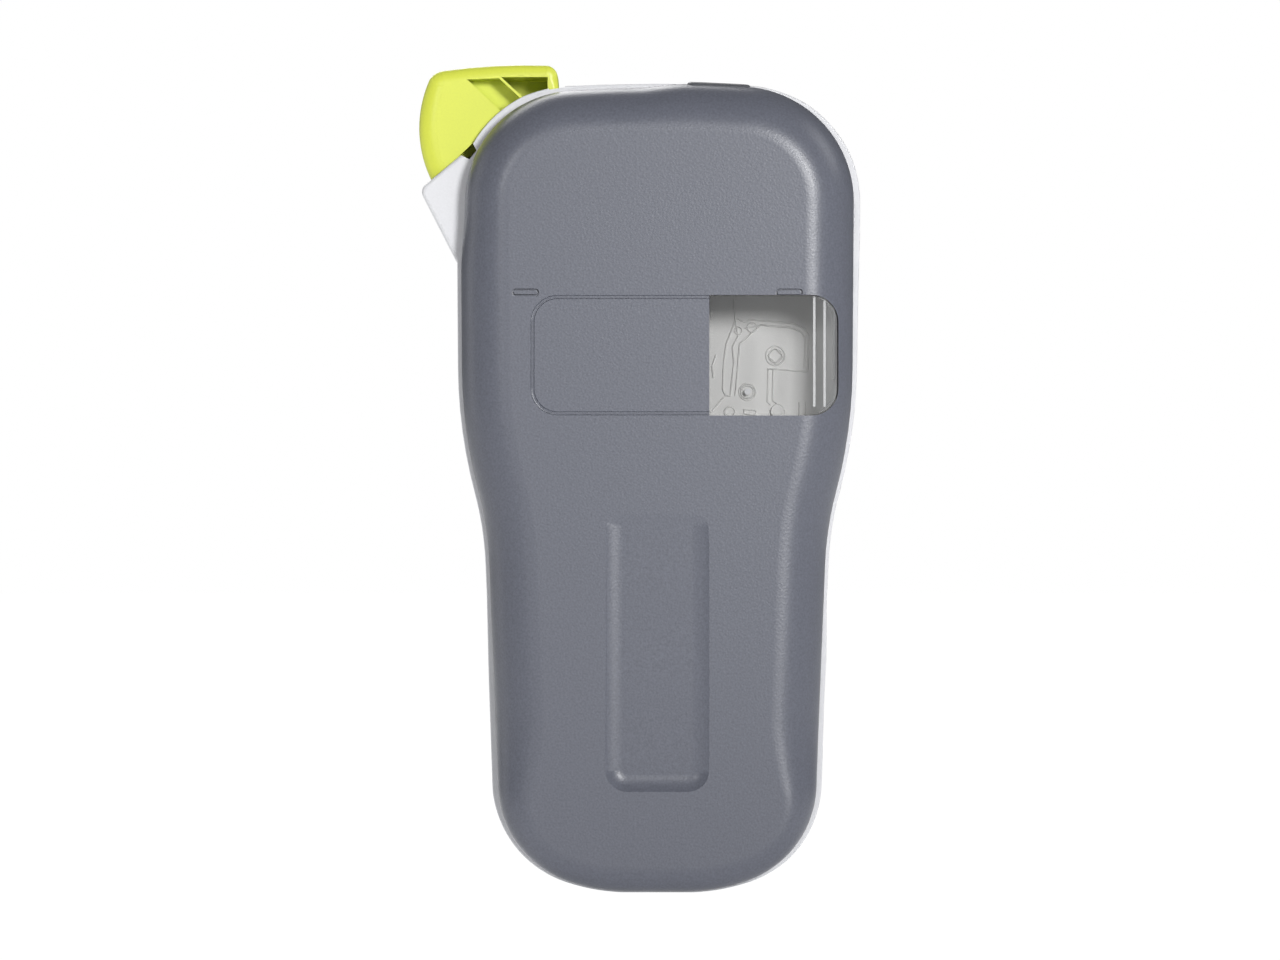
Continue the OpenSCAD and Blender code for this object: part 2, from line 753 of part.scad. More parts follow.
module direction_pad() {
    color(dark_grey) on_axis() on_face() translate([0, 0, pad_u]) difference() {
        union() {
            slab(-cap_proud, flange_y + 0.1) circle(pad_r - key_gap, $fn = true_round);
            slab(flange_y, flange_y + flange_t) circle(pad_r + 0.5, $fn = true_round);
        }
        slab(-3, flange_y + 2) circle(ok_r + key_gap, $fn = true_round);
    }
}

module ok_key() {
    color(lime) on_axis() on_face() translate([0, 0, pad_u])
        slab(-cap_proud - 0.2, flange_y + flange_t) circle(ok_r, $fn = true_round);
}

front_housing();
display_lens();
lcd_module();
keypad_sheet();
main_board();
inner_chassis();
battery_contacts();
batteries();
motor();
head_cable();
exit_guide();
lever_pin();
lever_spring();
head_spring();
dc_jack();
chassis_screws();
cassette_switch();
back_cover();
cover_window();
cover_latch();
cutter_lever();
blade_holder();
cutter_blade();
heat_sink();
print_head();
platen_roller();
idler_gear();
motor_pinion();
ribbon_spindle();
switch_pin();
direction_pad();
ok_key();
for (i = [0:len(FUNCTION_KEYS) - 1])
    function_key(i);
for (r = [0:KEY_ROWS - 1], c = [0:KEY_COLUMNS - 1])
    character_key(r, c);
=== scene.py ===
import json
import math
import bpy
import bmesh
import numpy as np
from mathutils import Matrix, Vector


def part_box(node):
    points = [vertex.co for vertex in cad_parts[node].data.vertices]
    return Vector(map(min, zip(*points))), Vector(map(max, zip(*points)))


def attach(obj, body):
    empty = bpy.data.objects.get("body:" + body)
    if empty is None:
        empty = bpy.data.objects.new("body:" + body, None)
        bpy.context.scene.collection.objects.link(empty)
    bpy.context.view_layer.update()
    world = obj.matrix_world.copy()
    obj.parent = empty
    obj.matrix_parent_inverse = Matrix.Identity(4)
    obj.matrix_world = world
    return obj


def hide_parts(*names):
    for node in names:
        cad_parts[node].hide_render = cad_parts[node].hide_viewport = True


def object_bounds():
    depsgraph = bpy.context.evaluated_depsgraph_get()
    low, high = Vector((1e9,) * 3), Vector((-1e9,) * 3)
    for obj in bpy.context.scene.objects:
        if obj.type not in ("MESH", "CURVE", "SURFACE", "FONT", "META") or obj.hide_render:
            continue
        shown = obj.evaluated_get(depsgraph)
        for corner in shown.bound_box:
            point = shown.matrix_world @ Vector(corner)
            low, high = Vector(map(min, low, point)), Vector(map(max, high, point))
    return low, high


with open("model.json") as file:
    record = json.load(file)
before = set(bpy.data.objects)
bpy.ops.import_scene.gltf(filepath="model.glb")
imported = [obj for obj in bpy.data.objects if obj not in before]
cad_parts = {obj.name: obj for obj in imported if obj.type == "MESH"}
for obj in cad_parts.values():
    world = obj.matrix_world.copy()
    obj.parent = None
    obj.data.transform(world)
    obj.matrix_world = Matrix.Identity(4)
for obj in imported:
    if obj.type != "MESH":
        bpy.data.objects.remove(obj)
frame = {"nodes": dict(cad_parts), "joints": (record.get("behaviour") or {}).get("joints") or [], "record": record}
nodes = frame["nodes"]
joints = {j["name"]: j for j in frame["joints"]}
cadBounds = [[float(v) for v in corner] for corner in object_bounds()]
mm = 0.001
print("frame loaded:", len(nodes), "nodes")

# places that the frame gives
coverLow, coverHigh = [Vector(c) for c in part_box("back_cover")]
centreX = (coverLow.x + coverHigh.x) / 2
seamY = coverLow.y
backY = coverHigh.y
baseZ = coverLow.z
topZ = coverHigh.z
keyAxis = Vector(joints["ok_key_press"]["axis"])
faceLean = math.atan2(keyAxis.z, keyAxis.y)
lensLow, lensHigh = [Vector(c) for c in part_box("display_lens")]
objectHeight = cadBounds[1][2] - cadBounds[0][2]


def link(mesh, name):
    obj = bpy.data.objects.new(name, mesh)
    bpy.context.scene.collection.objects.link(obj)
    return obj


def meshFrom(name, verts, faces):
    mesh = bpy.data.meshes.new(name)
    mesh.from_pydata([tuple(v) for v in verts], [], faces)
    mesh.validate()
    bm = bmesh.new()
    bm.from_mesh(mesh)
    bmesh.ops.remove_doubles(bm, verts=bm.verts, dist=1e-7)
    bmesh.ops.recalc_face_normals(bm, faces=bm.faces)
    bm.to_mesh(mesh)
    bm.free()
    return mesh


# vertices and faces through rings that all have as many points
def loft(rings, capFirst=True, capLast=True):
    n = len(rings[0])
    verts = [p for r in rings for p in r]
    faces = []
    for j in range(len(rings) - 1):
        for i in range(n):
            a, b = j * n + i, j * n + (i + 1) % n
            faces.append((a, b, b + n, a + n))
    if capFirst:
        faces.append(tuple(range(n - 1, -1, -1)))
    if capLast:
        faces.append(tuple((len(rings) - 1) * n + i for i in range(n)))
    return verts, faces


# points [x, z, heading] along straights and arcs that meet without a corner, in mm and degrees
def tangentPath(x, z, heading, runs, step=4.0, reach=4.0):
    points = [(x, z, heading)]
    for size, end in runs:
        if end == heading:
            count = max(1, math.ceil(size / reach))
            for k in range(1, count + 1):
                t = size * k / count
                a = math.radians(heading)
                points.append((x + t * math.cos(a), z + t * math.sin(a), heading))
        else:
            count = max(2, math.ceil(abs(end - heading) / step))
            s = 1 if end > heading else -1
            a0 = math.radians(heading)
            for k in range(1, count + 1):
                h = heading + (end - heading) * k / count
                a = math.radians(h)
                points.append((x + s * size * (math.sin(a) - math.sin(a0)),
                               z + s * size * (math.cos(a0) - math.cos(a)), h))
        x, z, heading = points[-1]
    return points


# outline of a rounded rectangle about the origin, anticlockwise, as an array
def roundRect(w, h, r, perCorner=8):
    points = []
    for cx, cz, start in ((1, -1, -90), (1, 1, 0), (-1, 1, 90), (-1, -1, 180)):
        for k in range(perCorner + 1):
            a = math.radians(start + 90 * k / perCorner)
            points.append((cx * (w / 2 - r) + r * math.cos(a), cz * (h / 2 - r) + r * math.sin(a)))
    return np.array(points)


# flat points in mm, x from the centre line and z from the bottom, put at depth y in metres
def place(points, y):
    ys = np.broadcast_to(y, (len(points),))
    return [(centreX + p[0] * mm, float(q), p[1] * mm) for p, q in zip(points, ys)]


def prism(name, points, y0, y1):
    verts, faces = loft([place(points, y1), place(points, y0)])
    return link(meshFrom(name, verts, faces), name)


# cuts the tools out of obj for good, and removes them
def carve(obj, tools, operation="DIFFERENCE"):
    for tool in tools:
        mod = obj.modifiers.new("carve", "BOOLEAN")
        mod.operation = operation
        mod.solver = "EXACT"
        mod.object = tool
    bake(obj)
    for tool in tools:
        bpy.data.objects.remove(tool, do_unlink=True)


def bake(obj):
    depsgraph = bpy.context.evaluated_depsgraph_get()
    mesh = bpy.data.meshes.new_from_object(obj.evaluated_get(depsgraph))
    obj.modifiers.clear()
    obj.data = mesh


# rounds the sharp edges by width in mm, then shades smooth with flat faces kept flat
def soften(obj, width, angle=38, segments=2):
    if width:
        mod = obj.modifiers.new("edges", "BEVEL")
        mod.width = width * mm
        mod.segments = segments
        mod.limit_method = "ANGLE"
        mod.angle_limit = math.radians(angle)
        mod.use_clamp_overlap = True
        bake(obj)
    shade(obj, angle)


def shade(obj, angle=38):
    bm = bmesh.new()
    bm.from_mesh(obj.data)
    limit = math.radians(angle)
    for face in bm.faces:
        face.smooth = face.calc_area() < 150 * mm * mm
    for edge in bm.edges:
        edge.smooth = len(edge.link_faces) == 2 and edge.calc_face_angle(0) < limit
    bm.to_mesh(obj.data)
    bm.free()
    mod = obj.modifiers.new("normals", "WEIGHTED_NORMAL")
    mod.keep_sharp = True
    mod.weight = 100
    bake(obj)


def smoothStep(t):
    t = np.clip(t, 0, 1)
    return t * t * (3 - 2 * t)


body = {
    "runs": [(7, 0), (48, 18.7), (26, 87.7), (56, 87.7), (83, 75.1), (125, 89.6), (41.7, 89.6), (29, 176)],
    "rim": 0.9,             # how far the front housing stands out
    "wall": 2.2,
    "edge": 12.0,           # round-over of the back edge
    "footEdge": 6.0,        # the same at the bottom end
    "frontEdge": 5.0,       # round-over of the keyboard edge
    "step": 2.5,            # degrees between points on an arc
}


def bodyOutline():
    z0 = baseZ / mm
    right = tangentPath(0, z0, 0, body["runs"], body["step"])
    x, z, heading = right[-1]
    crown = x / math.sin(math.radians(180 - heading))
    right += tangentPath(x, z, heading, [(crown, 180)], 0.4)[1:]
    right = right[1:]
    points = [(x, z) for x, z, h in right]
    inward = [(-math.sin(math.radians(h)), math.cos(math.radians(h))) for x, z, h in right]
    points += [(-x, z) for x, z in points[-2::-1]] + [(0, z0)]
    inward += [(-u, v) for u, v in inward[-2::-1]] + [(0, 1)]
    return np.array(points), np.array(inward)


outline, inward = bodyOutline()
shoulder = tangentPath(0, baseZ / mm, 0, body["runs"], 10)[-1]
shoulderX = shoulder[0] - 29 * math.sin(math.radians(shoulder[2]))
shoulderZ = shoulder[1] + 29 * math.cos(math.radians(shoulder[2]))


def edgeRadius(z):
    return body["footEdge"] + (body["edge"] - body["footEdge"]) * smoothStep((z - 10) / 35)


# how far the white rim swells past its usual width, by side and height
rimSwell = {
    "minusX": [(0, 0), (10, 0.55), (30, 0.6), (48, 0.35), (60, 0.5), (72, 0.0), (110, 0.15), (150, 0.5),
               (165, 0.85), (186, 0.8), (198, 0.3), (202, -0.2)],
    "plusX": [(0, 0), (10, 0.4), (25, 0.7), (55, 0.5), (75, 0.15), (150, 0.2), (200, 0.0), (202, -0.3)],
}


def swellAt():
    out = []
    for x, z in outline:
        table = rimSwell["minusX"] if x < 0 else rimSwell["plusX"]
        side = float(np.interp(z, [t[0] for t in table], [t[1] for t in table]))
        crown = float(smoothStep((z - 202.5) / 1.5))
        out.append(side * (1 - crown) - 0.72 * crown)
    return np.array(out)


# the cover's edge drawn back beside the lever, where more of the white shows
def drawnBack():
    x, z = outline[:, 0], outline[:, 1]
    return 1.1 * smoothStep((z - 156) / 18) * smoothStep((x + 8) / 14)


swell = swellAt()
backOff = drawnBack()


# ring of the outline moved inwards by inset mm, at depth y in metres
def bodyRing(inset, y):
    points = outline + inward * np.reshape(inset, (-1, 1))
    return place(points, y)


# rings over the back edge, a thickness inside the outer face
def backRings(thick, angles):
    radius = edgeRadius(outline[:, 1]) - thick
    rings = []
    for a in angles:
        a = math.radians(a)
        inset = thick + radius * (1 - math.cos(a))
        if thick == 0:
            inset = inset + backOff * math.cos(a)
        rings.append(bodyRing(inset, backY - (thick + radius * (1 - math.sin(a))) * mm))
    return rings


# depth of the keyboard face at height z in mm, in metres
def frontY(z):
    low = lensLow if lensLow.y < lensHigh.y else lensHigh
    return low.y - (z * mm - lensHigh.z) * math.tan(faceLean) - 0.05 * mm


def frontRings(thick, angles):
    radius = body["frontEdge"] - thick
    rings = []
    for a in angles:
        a = math.radians(a)
        inset = thick - body["rim"] + radius * (1 - math.cos(a)) - (swell * math.cos(a) if thick == 0 else 0)
        points = outline + inward * np.reshape(inset, (-1, 1))
        rings.append(place(points, frontY(points[:, 1]) + (thick + radius * (1 - math.sin(a))) * mm))
    return rings


def newGroup(name, inputs, outputs):
    group = bpy.data.node_groups.new(name, "ShaderNodeTree")
    for label, kind, value in inputs:
        socket = group.interface.new_socket(label, in_out="INPUT", socket_type=kind)
        socket.default_value = value
    for label, kind in outputs:
        group.interface.new_socket(label, in_out="OUTPUT", socket_type=kind)
    return group, group.nodes.new("NodeGroupInput"), group.nodes.new("NodeGroupOutput")


def mathNode(tree, operation, a, b=None, clamp=False):
    node = tree.nodes.new("ShaderNodeMath")
    node.operation = operation
    node.use_clamp = clamp
    for socket, value in zip(node.inputs, (a, b)):
        if value is None:
            continue
        if isinstance(value, (int, float)):
            socket.default_value = value
        else:
            tree.links.new(value, socket)
    return node.outputs[0]


# fine spark-eroded texture of moulded plastic: a height, and a mask of its hollows
def buildGrain():
    group, gin, gout = newGroup("mouldedGrain",
        [("Size mm", "NodeSocketFloat", 0.3), ("Unevenness", "NodeSocketFloat", 0.5)],
        [("Height", "NodeSocketFloat"), ("Hollows", "NodeSocketFloat")])
    coords = group.nodes.new("ShaderNodeTexCoord").outputs["Object"]
    scale = mathNode(group, "DIVIDE", 1000.0, gin.outputs["Size mm"])
    noise = group.nodes.new("ShaderNodeTexNoise")
    noise.inputs["Detail"].default_value = 1.5
    cells = group.nodes.new("ShaderNodeTexVoronoi")
    cells.feature = "SMOOTH_F1"
    broad = group.nodes.new("ShaderNodeTexNoise")
    broad.inputs["Scale"].default_value = 55
    for tex in (noise, cells, broad):
        group.links.new(coords, tex.inputs["Vector"])
    group.links.new(scale, noise.inputs["Scale"])
    group.links.new(mathNode(group, "MULTIPLY", scale, 0.8), cells.inputs["Scale"])
    uneven = mathNode(group, "MULTIPLY", broad.outputs[0], gin.outputs["Unevenness"])
    height = mathNode(group, "ADD", mathNode(group, "MULTIPLY", noise.outputs[0], 0.6),
                      mathNode(group, "MULTIPLY", cells.outputs["Distance"], 0.5))
    height = mathNode(group, "ADD", height, uneven)
    group.links.new(height, gout.inputs["Height"])
    group.links.new(mathNode(group, "SUBTRACT", 1.0, noise.outputs[0], True), gout.inputs["Hollows"])
    return group


# slow change of tone over a moulding, with a paler line along worn edges
def buildTone():
    group, gin, gout = newGroup("surfaceTone",
        [("Color", "NodeSocketColor", (0.5, 0.5, 0.5, 1)), ("Change", "NodeSocketFloat", 0.06),
         ("Edge", "NodeSocketFloat", 0.1), ("Speckle", "NodeSocketFloat", 0.08), ("Size mm", "NodeSocketFloat", 30.0)],
        [("Color", "NodeSocketColor"), ("Worn", "NodeSocketFloat")])
    coords = group.nodes.new("ShaderNodeTexCoord").outputs["Object"]
    noise = group.nodes.new("ShaderNodeTexNoise")
    noise.inputs["Detail"].default_value = 3
    group.links.new(coords, noise.inputs["Vector"])
    group.links.new(mathNode(group, "DIVIDE", 1000.0, gin.outputs["Size mm"]), noise.inputs["Scale"])
    swing = mathNode(group, "MULTIPLY", mathNode(group, "SUBTRACT", noise.outputs[0], 0.5), gin.outputs["Change"])
    fine = group.nodes.new("ShaderNodeTexNoise")
    fine.inputs["Scale"].default_value = 1900
    fine.inputs["Detail"].default_value = 1
    group.links.new(coords, fine.inputs["Vector"])
    speck = mathNode(group, "MULTIPLY", mathNode(group, "SUBTRACT", fine.outputs[0], 0.5), gin.outputs["Speckle"])
    gain = mathNode(group, "ADD", mathNode(group, "MULTIPLY", mathNode(group, "ADD", swing, speck), 2.0), 1.0)
    point = group.nodes.new("ShaderNodeNewGeometry").outputs["Pointiness"]
    worn = mathNode(group, "MULTIPLY", mathNode(group, "SUBTRACT", point, 0.52), 14.0, True)
    worn = mathNode(group, "MULTIPLY", worn, gin.outputs["Edge"], True)
    scaled = group.nodes.new("ShaderNodeVectorMath")
    scaled.operation = "SCALE"
    group.links.new(gin.outputs["Color"], scaled.inputs[0])
    group.links.new(gain, scaled.inputs["Scale"])
    mix = group.nodes.new("ShaderNodeMix")
    mix.data_type = "RGBA"
    mix.inputs[7].default_value = (0.9, 0.9, 0.9, 1)
    group.links.new(worn, mix.inputs[0])
    group.links.new(scaled.outputs[0], mix.inputs[6])
    group.links.new(mix.outputs[2], gout.inputs["Color"])
    group.links.new(worn, gout.inputs["Worn"])
    return group


# fine lines along one axis, as on drawn or ground metal
def buildStreaks():
    group, gin, gout = newGroup("grindLines",
        [("Along", "NodeSocketVector", (1, 1, 1)), ("Size mm", "NodeSocketFloat", 0.2)],
        [("Height", "NodeSocketFloat"), ("Bright", "NodeSocketFloat")])
    coords = group.nodes.new("ShaderNodeTexCoord").outputs["Object"]
    stretch = group.nodes.new("ShaderNodeVectorMath")
    stretch.operation = "MULTIPLY"
    group.links.new(coords, stretch.inputs[0])
    group.links.new(gin.outputs["Along"], stretch.inputs[1])
    noise = group.nodes.new("ShaderNodeTexNoise")
    noise.inputs["Detail"].default_value = 4
    group.links.new(stretch.outputs[0], noise.inputs["Vector"])
    group.links.new(mathNode(group, "DIVIDE", 1000.0, gin.outputs["Size mm"]), noise.inputs["Scale"])
    group.links.new(noise.outputs[0], gout.inputs["Height"])
    group.links.new(mathNode(group, "MULTIPLY_ADD", noise.outputs[0], 0.5), gout.inputs["Bright"])
    return group


grainGroup = buildGrain()
toneGroup = buildTone()
streakGroup = buildStreaks()


def placeGroup(tree, group, values):
    node = tree.nodes.new("ShaderNodeGroup")
    node.node_tree = group
    for label, value in values.items():
        node.inputs[label].default_value = value
    return node


finishes = {
    # color, roughness, grain size and depth in mm, change of tone, edge wear, further sockets
    "white_plastic": dict(color=(0.79, 0.795, 0.82), rough=0.42, grain=0.35, depth=0.006, change=0.01, edge=0.0),
    "pale_plastic": dict(color=(0.74, 0.738, 0.725), rough=0.5, grain=0.5, depth=0.01, change=0.03, edge=0.05),
    "grey_plastic": dict(color=(0.130, 0.138, 0.170), rough=0.34, grain=0.5, depth=0.034, change=0.02, edge=0.0,
                         speckle=0.26),
    "dark_grey_plastic": dict(color=(0.085, 0.090, 0.102), rough=0.45, grain=0.3, depth=0.02, change=0.03, edge=0.05),
    "lime_plastic": dict(color=(0.765, 0.83, 0.092), rough=0.36, grain=0.5, depth=0.005, change=0.02, edge=0.0),
    "grey_key": dict(color=(0.20, 0.205, 0.24), rough=0.55, grain=0.25, depth=0.012, change=0.03, edge=0.06),
    "black_plastic": dict(color=(0.02, 0.02, 0.022), rough=0.4, grain=0.4, depth=0.01, change=0.1, edge=0.02),
    "keypad_rubber": dict(color=(0.30, 0.31, 0.33), rough=0.7, grain=0.6, depth=0.02, change=0.05, edge=0.0),
    "roller_rubber": dict(color=(0.02, 0.02, 0.021), rough=0.75, grain=0.4, depth=0.03, change=0.1, edge=0.0),
    "battery_wrap": dict(color=(0.05, 0.06, 0.09), rough=0.22, grain=1.2, depth=0.004, change=0.08, edge=0.0),
    "flex_cable": dict(color=(0.60, 0.30, 0.06), rough=0.3, grain=0.8, depth=0.004, change=0.1, edge=0.0),
    "circuit_board": dict(color=(0.02, 0.13, 0.06), rough=0.3, grain=0.8, depth=0.01, change=0.2, edge=0.0),
    "head_ceramic": dict(color=(0.10, 0.05, 0.035), rough=0.15, grain=0.6, depth=0.003, change=0.1, edge=0.0),
    "lcd_glass": dict(color=(0.36, 0.42, 0.34), rough=0.25, grain=0.5, depth=0.002, change=0.03, edge=0.0),
    "arrow_print": dict(color=(0.75, 0.76, 0.78), rough=0.5, grain=0.3, depth=0.004, change=0.05, edge=0.0),
}
metals = {
    "steel": dict(color=(0.60, 0.61, 0.63), rough=0.28, along=(1, 12, 1), size=0.25),
    "aluminium": dict(color=(0.78, 0.79, 0.80), rough=0.38, along=(1, 1, 8), size=0.3),
    "brass": dict(color=(0.70, 0.50, 0.22), rough=0.3, along=(1, 10, 1), size=0.25),
}


def principled(name):
    mat = bpy.data.materials.new(name)
    mat.use_nodes = True
    return mat, mat.node_tree, mat.node_tree.nodes["Principled BSDF"]


def mouldedMaterial(name, color, rough, grain, depth, change, edge, speckle=0.04):
    mat, tree, shader = principled(name)
    tone = placeGroup(tree, toneGroup, {"Color": (*color, 1), "Change": change, "Edge": edge, "Speckle": speckle})
    tree.links.new(tone.outputs["Color"], shader.inputs["Base Color"])
    texture = placeGroup(tree, grainGroup, {"Size mm": grain, "Unevenness": 0.3})
    bump = tree.nodes.new("ShaderNodeBump")
    bump.inputs["Strength"].default_value = 1.0
    bump.inputs["Distance"].default_value = depth * mm
    tree.links.new(texture.outputs["Height"], bump.inputs["Height"])
    tree.links.new(bump.outputs["Normal"], shader.inputs["Normal"])
    roughness = mathNode(tree, "MULTIPLY_ADD", texture.outputs["Hollows"], 0.12)
    roughness.node.inputs[2].default_value = rough - 0.06
    tree.links.new(roughness, shader.inputs["Roughness"])
    return mat


def metalMaterial(name, color, rough, along, size):
    mat, tree, shader = principled(name)
    shader.inputs["Metallic"].default_value = 1.0
    tone = placeGroup(tree, toneGroup, {"Color": (*color, 1), "Change": 0.08, "Edge": 0.1, "Size mm": 6.0})
    tree.links.new(tone.outputs["Color"], shader.inputs["Base Color"])
    lines = placeGroup(tree, streakGroup, {"Along": along, "Size mm": size})
    bump = tree.nodes.new("ShaderNodeBump")
    bump.inputs["Strength"].default_value = 0.5
    bump.inputs["Distance"].default_value = 0.004 * mm
    tree.links.new(lines.outputs["Height"], bump.inputs["Height"])
    tree.links.new(bump.outputs["Normal"], shader.inputs["Normal"])
    roughness = mathNode(tree, "MULTIPLY_ADD", lines.outputs["Height"], 0.2)
    roughness.node.inputs[2].default_value = rough - 0.1
    tree.links.new(roughness, shader.inputs["Roughness"])
    return mat


materials = {name: mouldedMaterial(name, **look) for name, look in finishes.items()}
materials.update({name: metalMaterial(name, **look) for name, look in metals.items()})


# clear plastic that lets light through, with faint moulding marks in its gloss; at a slant it turns more opaque, so its
# base colour shows there as a painted reflection
def clearMaterial(name, color, alpha, rough, paintedSlantReflection):
    mat, tree, shader = principled(name)
    # alpha rises with the slant of the surface: the base colour shown there is a painted reflection
    slant = tree.nodes.new("ShaderNodeLayerWeight")
    slant.inputs["Blend"].default_value = 0.35
    opacityAndReflection = mathNode(tree, "MULTIPLY_ADD", slant.outputs["Facing"], paintedSlantReflection)
    opacityAndReflection.node.inputs[2].default_value = alpha
    tree.links.new(mathNode(tree, "MINIMUM", opacityAndReflection, 0.95), shader.inputs["Alpha"])
    tone = placeGroup(tree, toneGroup, {"Color": (*color, 1), "Change": 0.02, "Edge": 0.0})
    tree.links.new(tone.outputs["Color"], shader.inputs["Base Color"])
    texture = placeGroup(tree, grainGroup, {"Size mm": 2.5, "Unevenness": 0.2})
    roughness = mathNode(tree, "MULTIPLY_ADD", texture.outputs["Hollows"], 0.04)
    roughness.node.inputs[2].default_value = rough
    tree.links.new(roughness, shader.inputs["Roughness"])
    shader.inputs["IOR"].default_value = 1.58
    return mat


materials["clear_window"] = clearMaterial("clear_window", (0.62, 0.63, 0.64), 0.04, 0.03, 0.80)
materials["clear_web"] = clearMaterial("clear_web", (0.95, 0.96, 0.97), 0.55, 0.08, 0.4)
materials["display_lens"] = clearMaterial("display_lens", (0.03, 0.032, 0.036), 0.30, 0.05, 0.4)
print("materials made:", len(materials))

# every carried-over node takes the finish of its slot
slotOf = {s["node"]: s["material_slot"] for s in frame["record"]["subparts"]}
for nodeName, obj in nodes.items():
    if not obj.data.materials:
        obj.data.materials.append(None)
    for i in range(len(obj.data.materials)):
        obj.data.materials[i] = materials[slotOf[nodeName]]


def finishPiece(obj, bodyName, slotName, replaced=(), material=None):
    obj.data.materials.clear()
    obj.data.materials.append(materials[material or slotName])
    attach(obj, bodyName)
    if replaced:
        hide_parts(*replaced)
    return obj


panel = {
    "x": -6.8, "z": 135.3, "w": 77.2, "h": 30.2, "r": 6.8,
    "split": -13.0,          # where the grey panel ends and the window begins
    "grooveWide": 1.1, "grooveDeep": 0.5,
}
recess = {"z": 62, "w": 26, "h": 72, "r": 5.5, "deep": 1.5, "wallWide": 4.2, "fadeFrom": 97.5, "fadeTo": 66}
bars = {"x": 33.0, "z": 151, "w": 6.8, "h": 1.9, "line": 0.5, "deep": 0.9}
latch = {"proud": 0.55, "fromBack": 8.6}
crownHalf = np.flatnonzero((outline[:, 1] > 195) & (outline[:, 0] < 20))[::-1]


def coverShell():
    outer = [bodyRing(edgeRadius(outline[:, 1]) + 0.5, backY)] + backRings(0, np.linspace(90, 0, 15))
    thick = body["wall"]
    edge = 0.25
    seam = [bodyRing(backOff, seamY + edge * mm), bodyRing(edge + backOff, seamY + 0.02 * mm),
            bodyRing(thick - edge, seamY + 0.02 * mm), bodyRing(thick, seamY + edge * mm)]
    inner = backRings(thick, np.linspace(0, 90, 9))
    verts, faces = loft(outer + seam + inner)
    return link(meshFrom("backCover", verts, faces), "backCover")


# finger recess: crisp edge, walls that curve into a flat floor, fading out towards the head
def recessTool():
    rings = []
    for u in (-0.12, 0, 0.04, 0.1, 0.18, 0.28, 0.4, 0.54, 0.7, 0.86, 1.0):
        d = recess["wallWide"] * max(u, 0)
        points = roundRect(recess["w"] - 2 * d, recess["h"] - 2 * d, max(recess["r"] - d, 1.3), 8)
        points = points + (0, recess["z"])
        fade = smoothStep((recess["fadeFrom"] - points[:, 1]) / (recess["fadeFrom"] - recess["fadeTo"]))
        if u < 0:
            rings.append(place(points, backY + 1.0 * mm))
        else:
            deep = recess["deep"] * (1 - (1 - u) ** 2) * fade - 0.012 * (1 - fade)
            rings.append(place(points, backY - deep * mm))
    verts, faces = loft(rings)
    return link(meshFrom("recessTool", verts, faces), "recessTool")


# cutter that runs a shallow groove along an open path on the back face
def openGroove(path, normals, wide, deep, name):
    section = [(-0.06, 0.4), (0.1, -0.12), (0.22, -deep), (wide - 0.22, -deep), (wide - 0.1, -0.12), (wide + 0.06, 0.4)]
    rings = []
    for p, q in zip(path, normals):
        rings.append([(centreX + (p[0] + q[0] * d) * mm, backY + y * mm, (p[1] + q[1] * d) * mm) for d, y in section])
    verts, faces = loft(rings)
    return link(meshFrom(name, verts, faces), name)


# the panel's outline from the window's edge over the top, round the far end and back below
def panelPath():
    r = panel["r"]
    left, high = panel["x"] + panel["w"] / 2, panel["h"] / 2
    runs = [(left - r - panel["split"], 0), (r, 90), (panel["h"] - 2 * r, 90), (r, 180), (left - r - panel["split"], 180)]
    points = tangentPath(panel["split"], panel["z"] - high, 0, runs, 7)
    path = [(x, z) for x, z, h in points]
    normals = [(-math.sin(math.radians(h)), math.cos(math.radians(h))) for x, z, h in points]
    return path, normals


# d-shaped outline of the window: straight at the split, rounded at the outer end
def windowOutline(inset):
    r = panel["r"] - inset
    right = panel["x"] - panel["w"] / 2 + inset
    high = panel["h"] / 2 - inset
    split = panel["split"] - inset
    points = [(split, panel["z"] - high), (split, panel["z"] + high)]
    for k in range(13):
        a = math.radians(90 + 90 * k / 12)
        points.append((right + r + r * math.cos(a), panel["z"] + high - r + r * math.sin(a)))
    for k in range(13):
        a = math.radians(180 + 90 * k / 12)
        points.append((right + r + r * math.cos(a), panel["z"] - high + r + r * math.sin(a)))
    return np.array(points)


def barTool(sign):
    outer = roundRect(bars["w"], bars["h"], bars["h"] / 2 - 0.05, 6)
    inner = roundRect(bars["w"] - 2 * bars["line"], bars["h"] - 2 * bars["line"], bars["h"] / 2 - 0.05 - bars["line"], 6)
    centre = (sign * bars["x"], bars["z"])
    rings = [place(outer + centre, backY + 0.5 * mm), place(outer + centre, backY - bars["deep"] * mm),
             place(inner + centre, backY - bars["deep"] * mm), place(inner + centre, backY + 0.5 * mm)]
    n = len(outer)
    verts, faces = loft(rings, False, False)
    faces += [(3 * n + i, 3 * n + (i + 1) % n, (i + 1) % n, i) for i in range(n)]
    return link(meshFrom("barTool", verts, faces), "barTool")


latchLow, latchHigh = [Vector(c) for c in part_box("cover_latch")]


def latchTool():
    g = 0.16
    backEnd = min(latchHigh.y, backY - latch["fromBack"] * mm)
    shape = roundRect((latchHigh.x - latchLow.x) / mm + 2 * g, (backEnd - latchLow.y) / mm + 2 * g, 2.2, 6)
    cx, cy = (latchHigh.x + latchLow.x) / 2, (backEnd + latchLow.y) / 2
    rings = [[(cx + p[0] * mm, cy + p[1] * mm, z) for p in shape] for z in (topZ - 7 * mm, topZ + 4 * mm)]
    verts, faces = loft(rings)
    return link(meshFrom("latchTool", verts, faces), "latchTool")


backCover = coverShell()
path, normals = panelPath()
carve(backCover, [recessTool(), openGroove(path, normals, panel["grooveWide"], panel["grooveDeep"], "panelTool"),
                  prism("windowTool", windowOutline(0.0), seamY - 2 * mm, backY + 2 * mm),
                  barTool(1), barTool(-1), latchTool()])
soften(backCover, 0.12, 40)
finishPiece(backCover, "back_cover", "grey_plastic", ["back_cover"])
print("back cover made:", len(backCover.data.polygons), "faces")


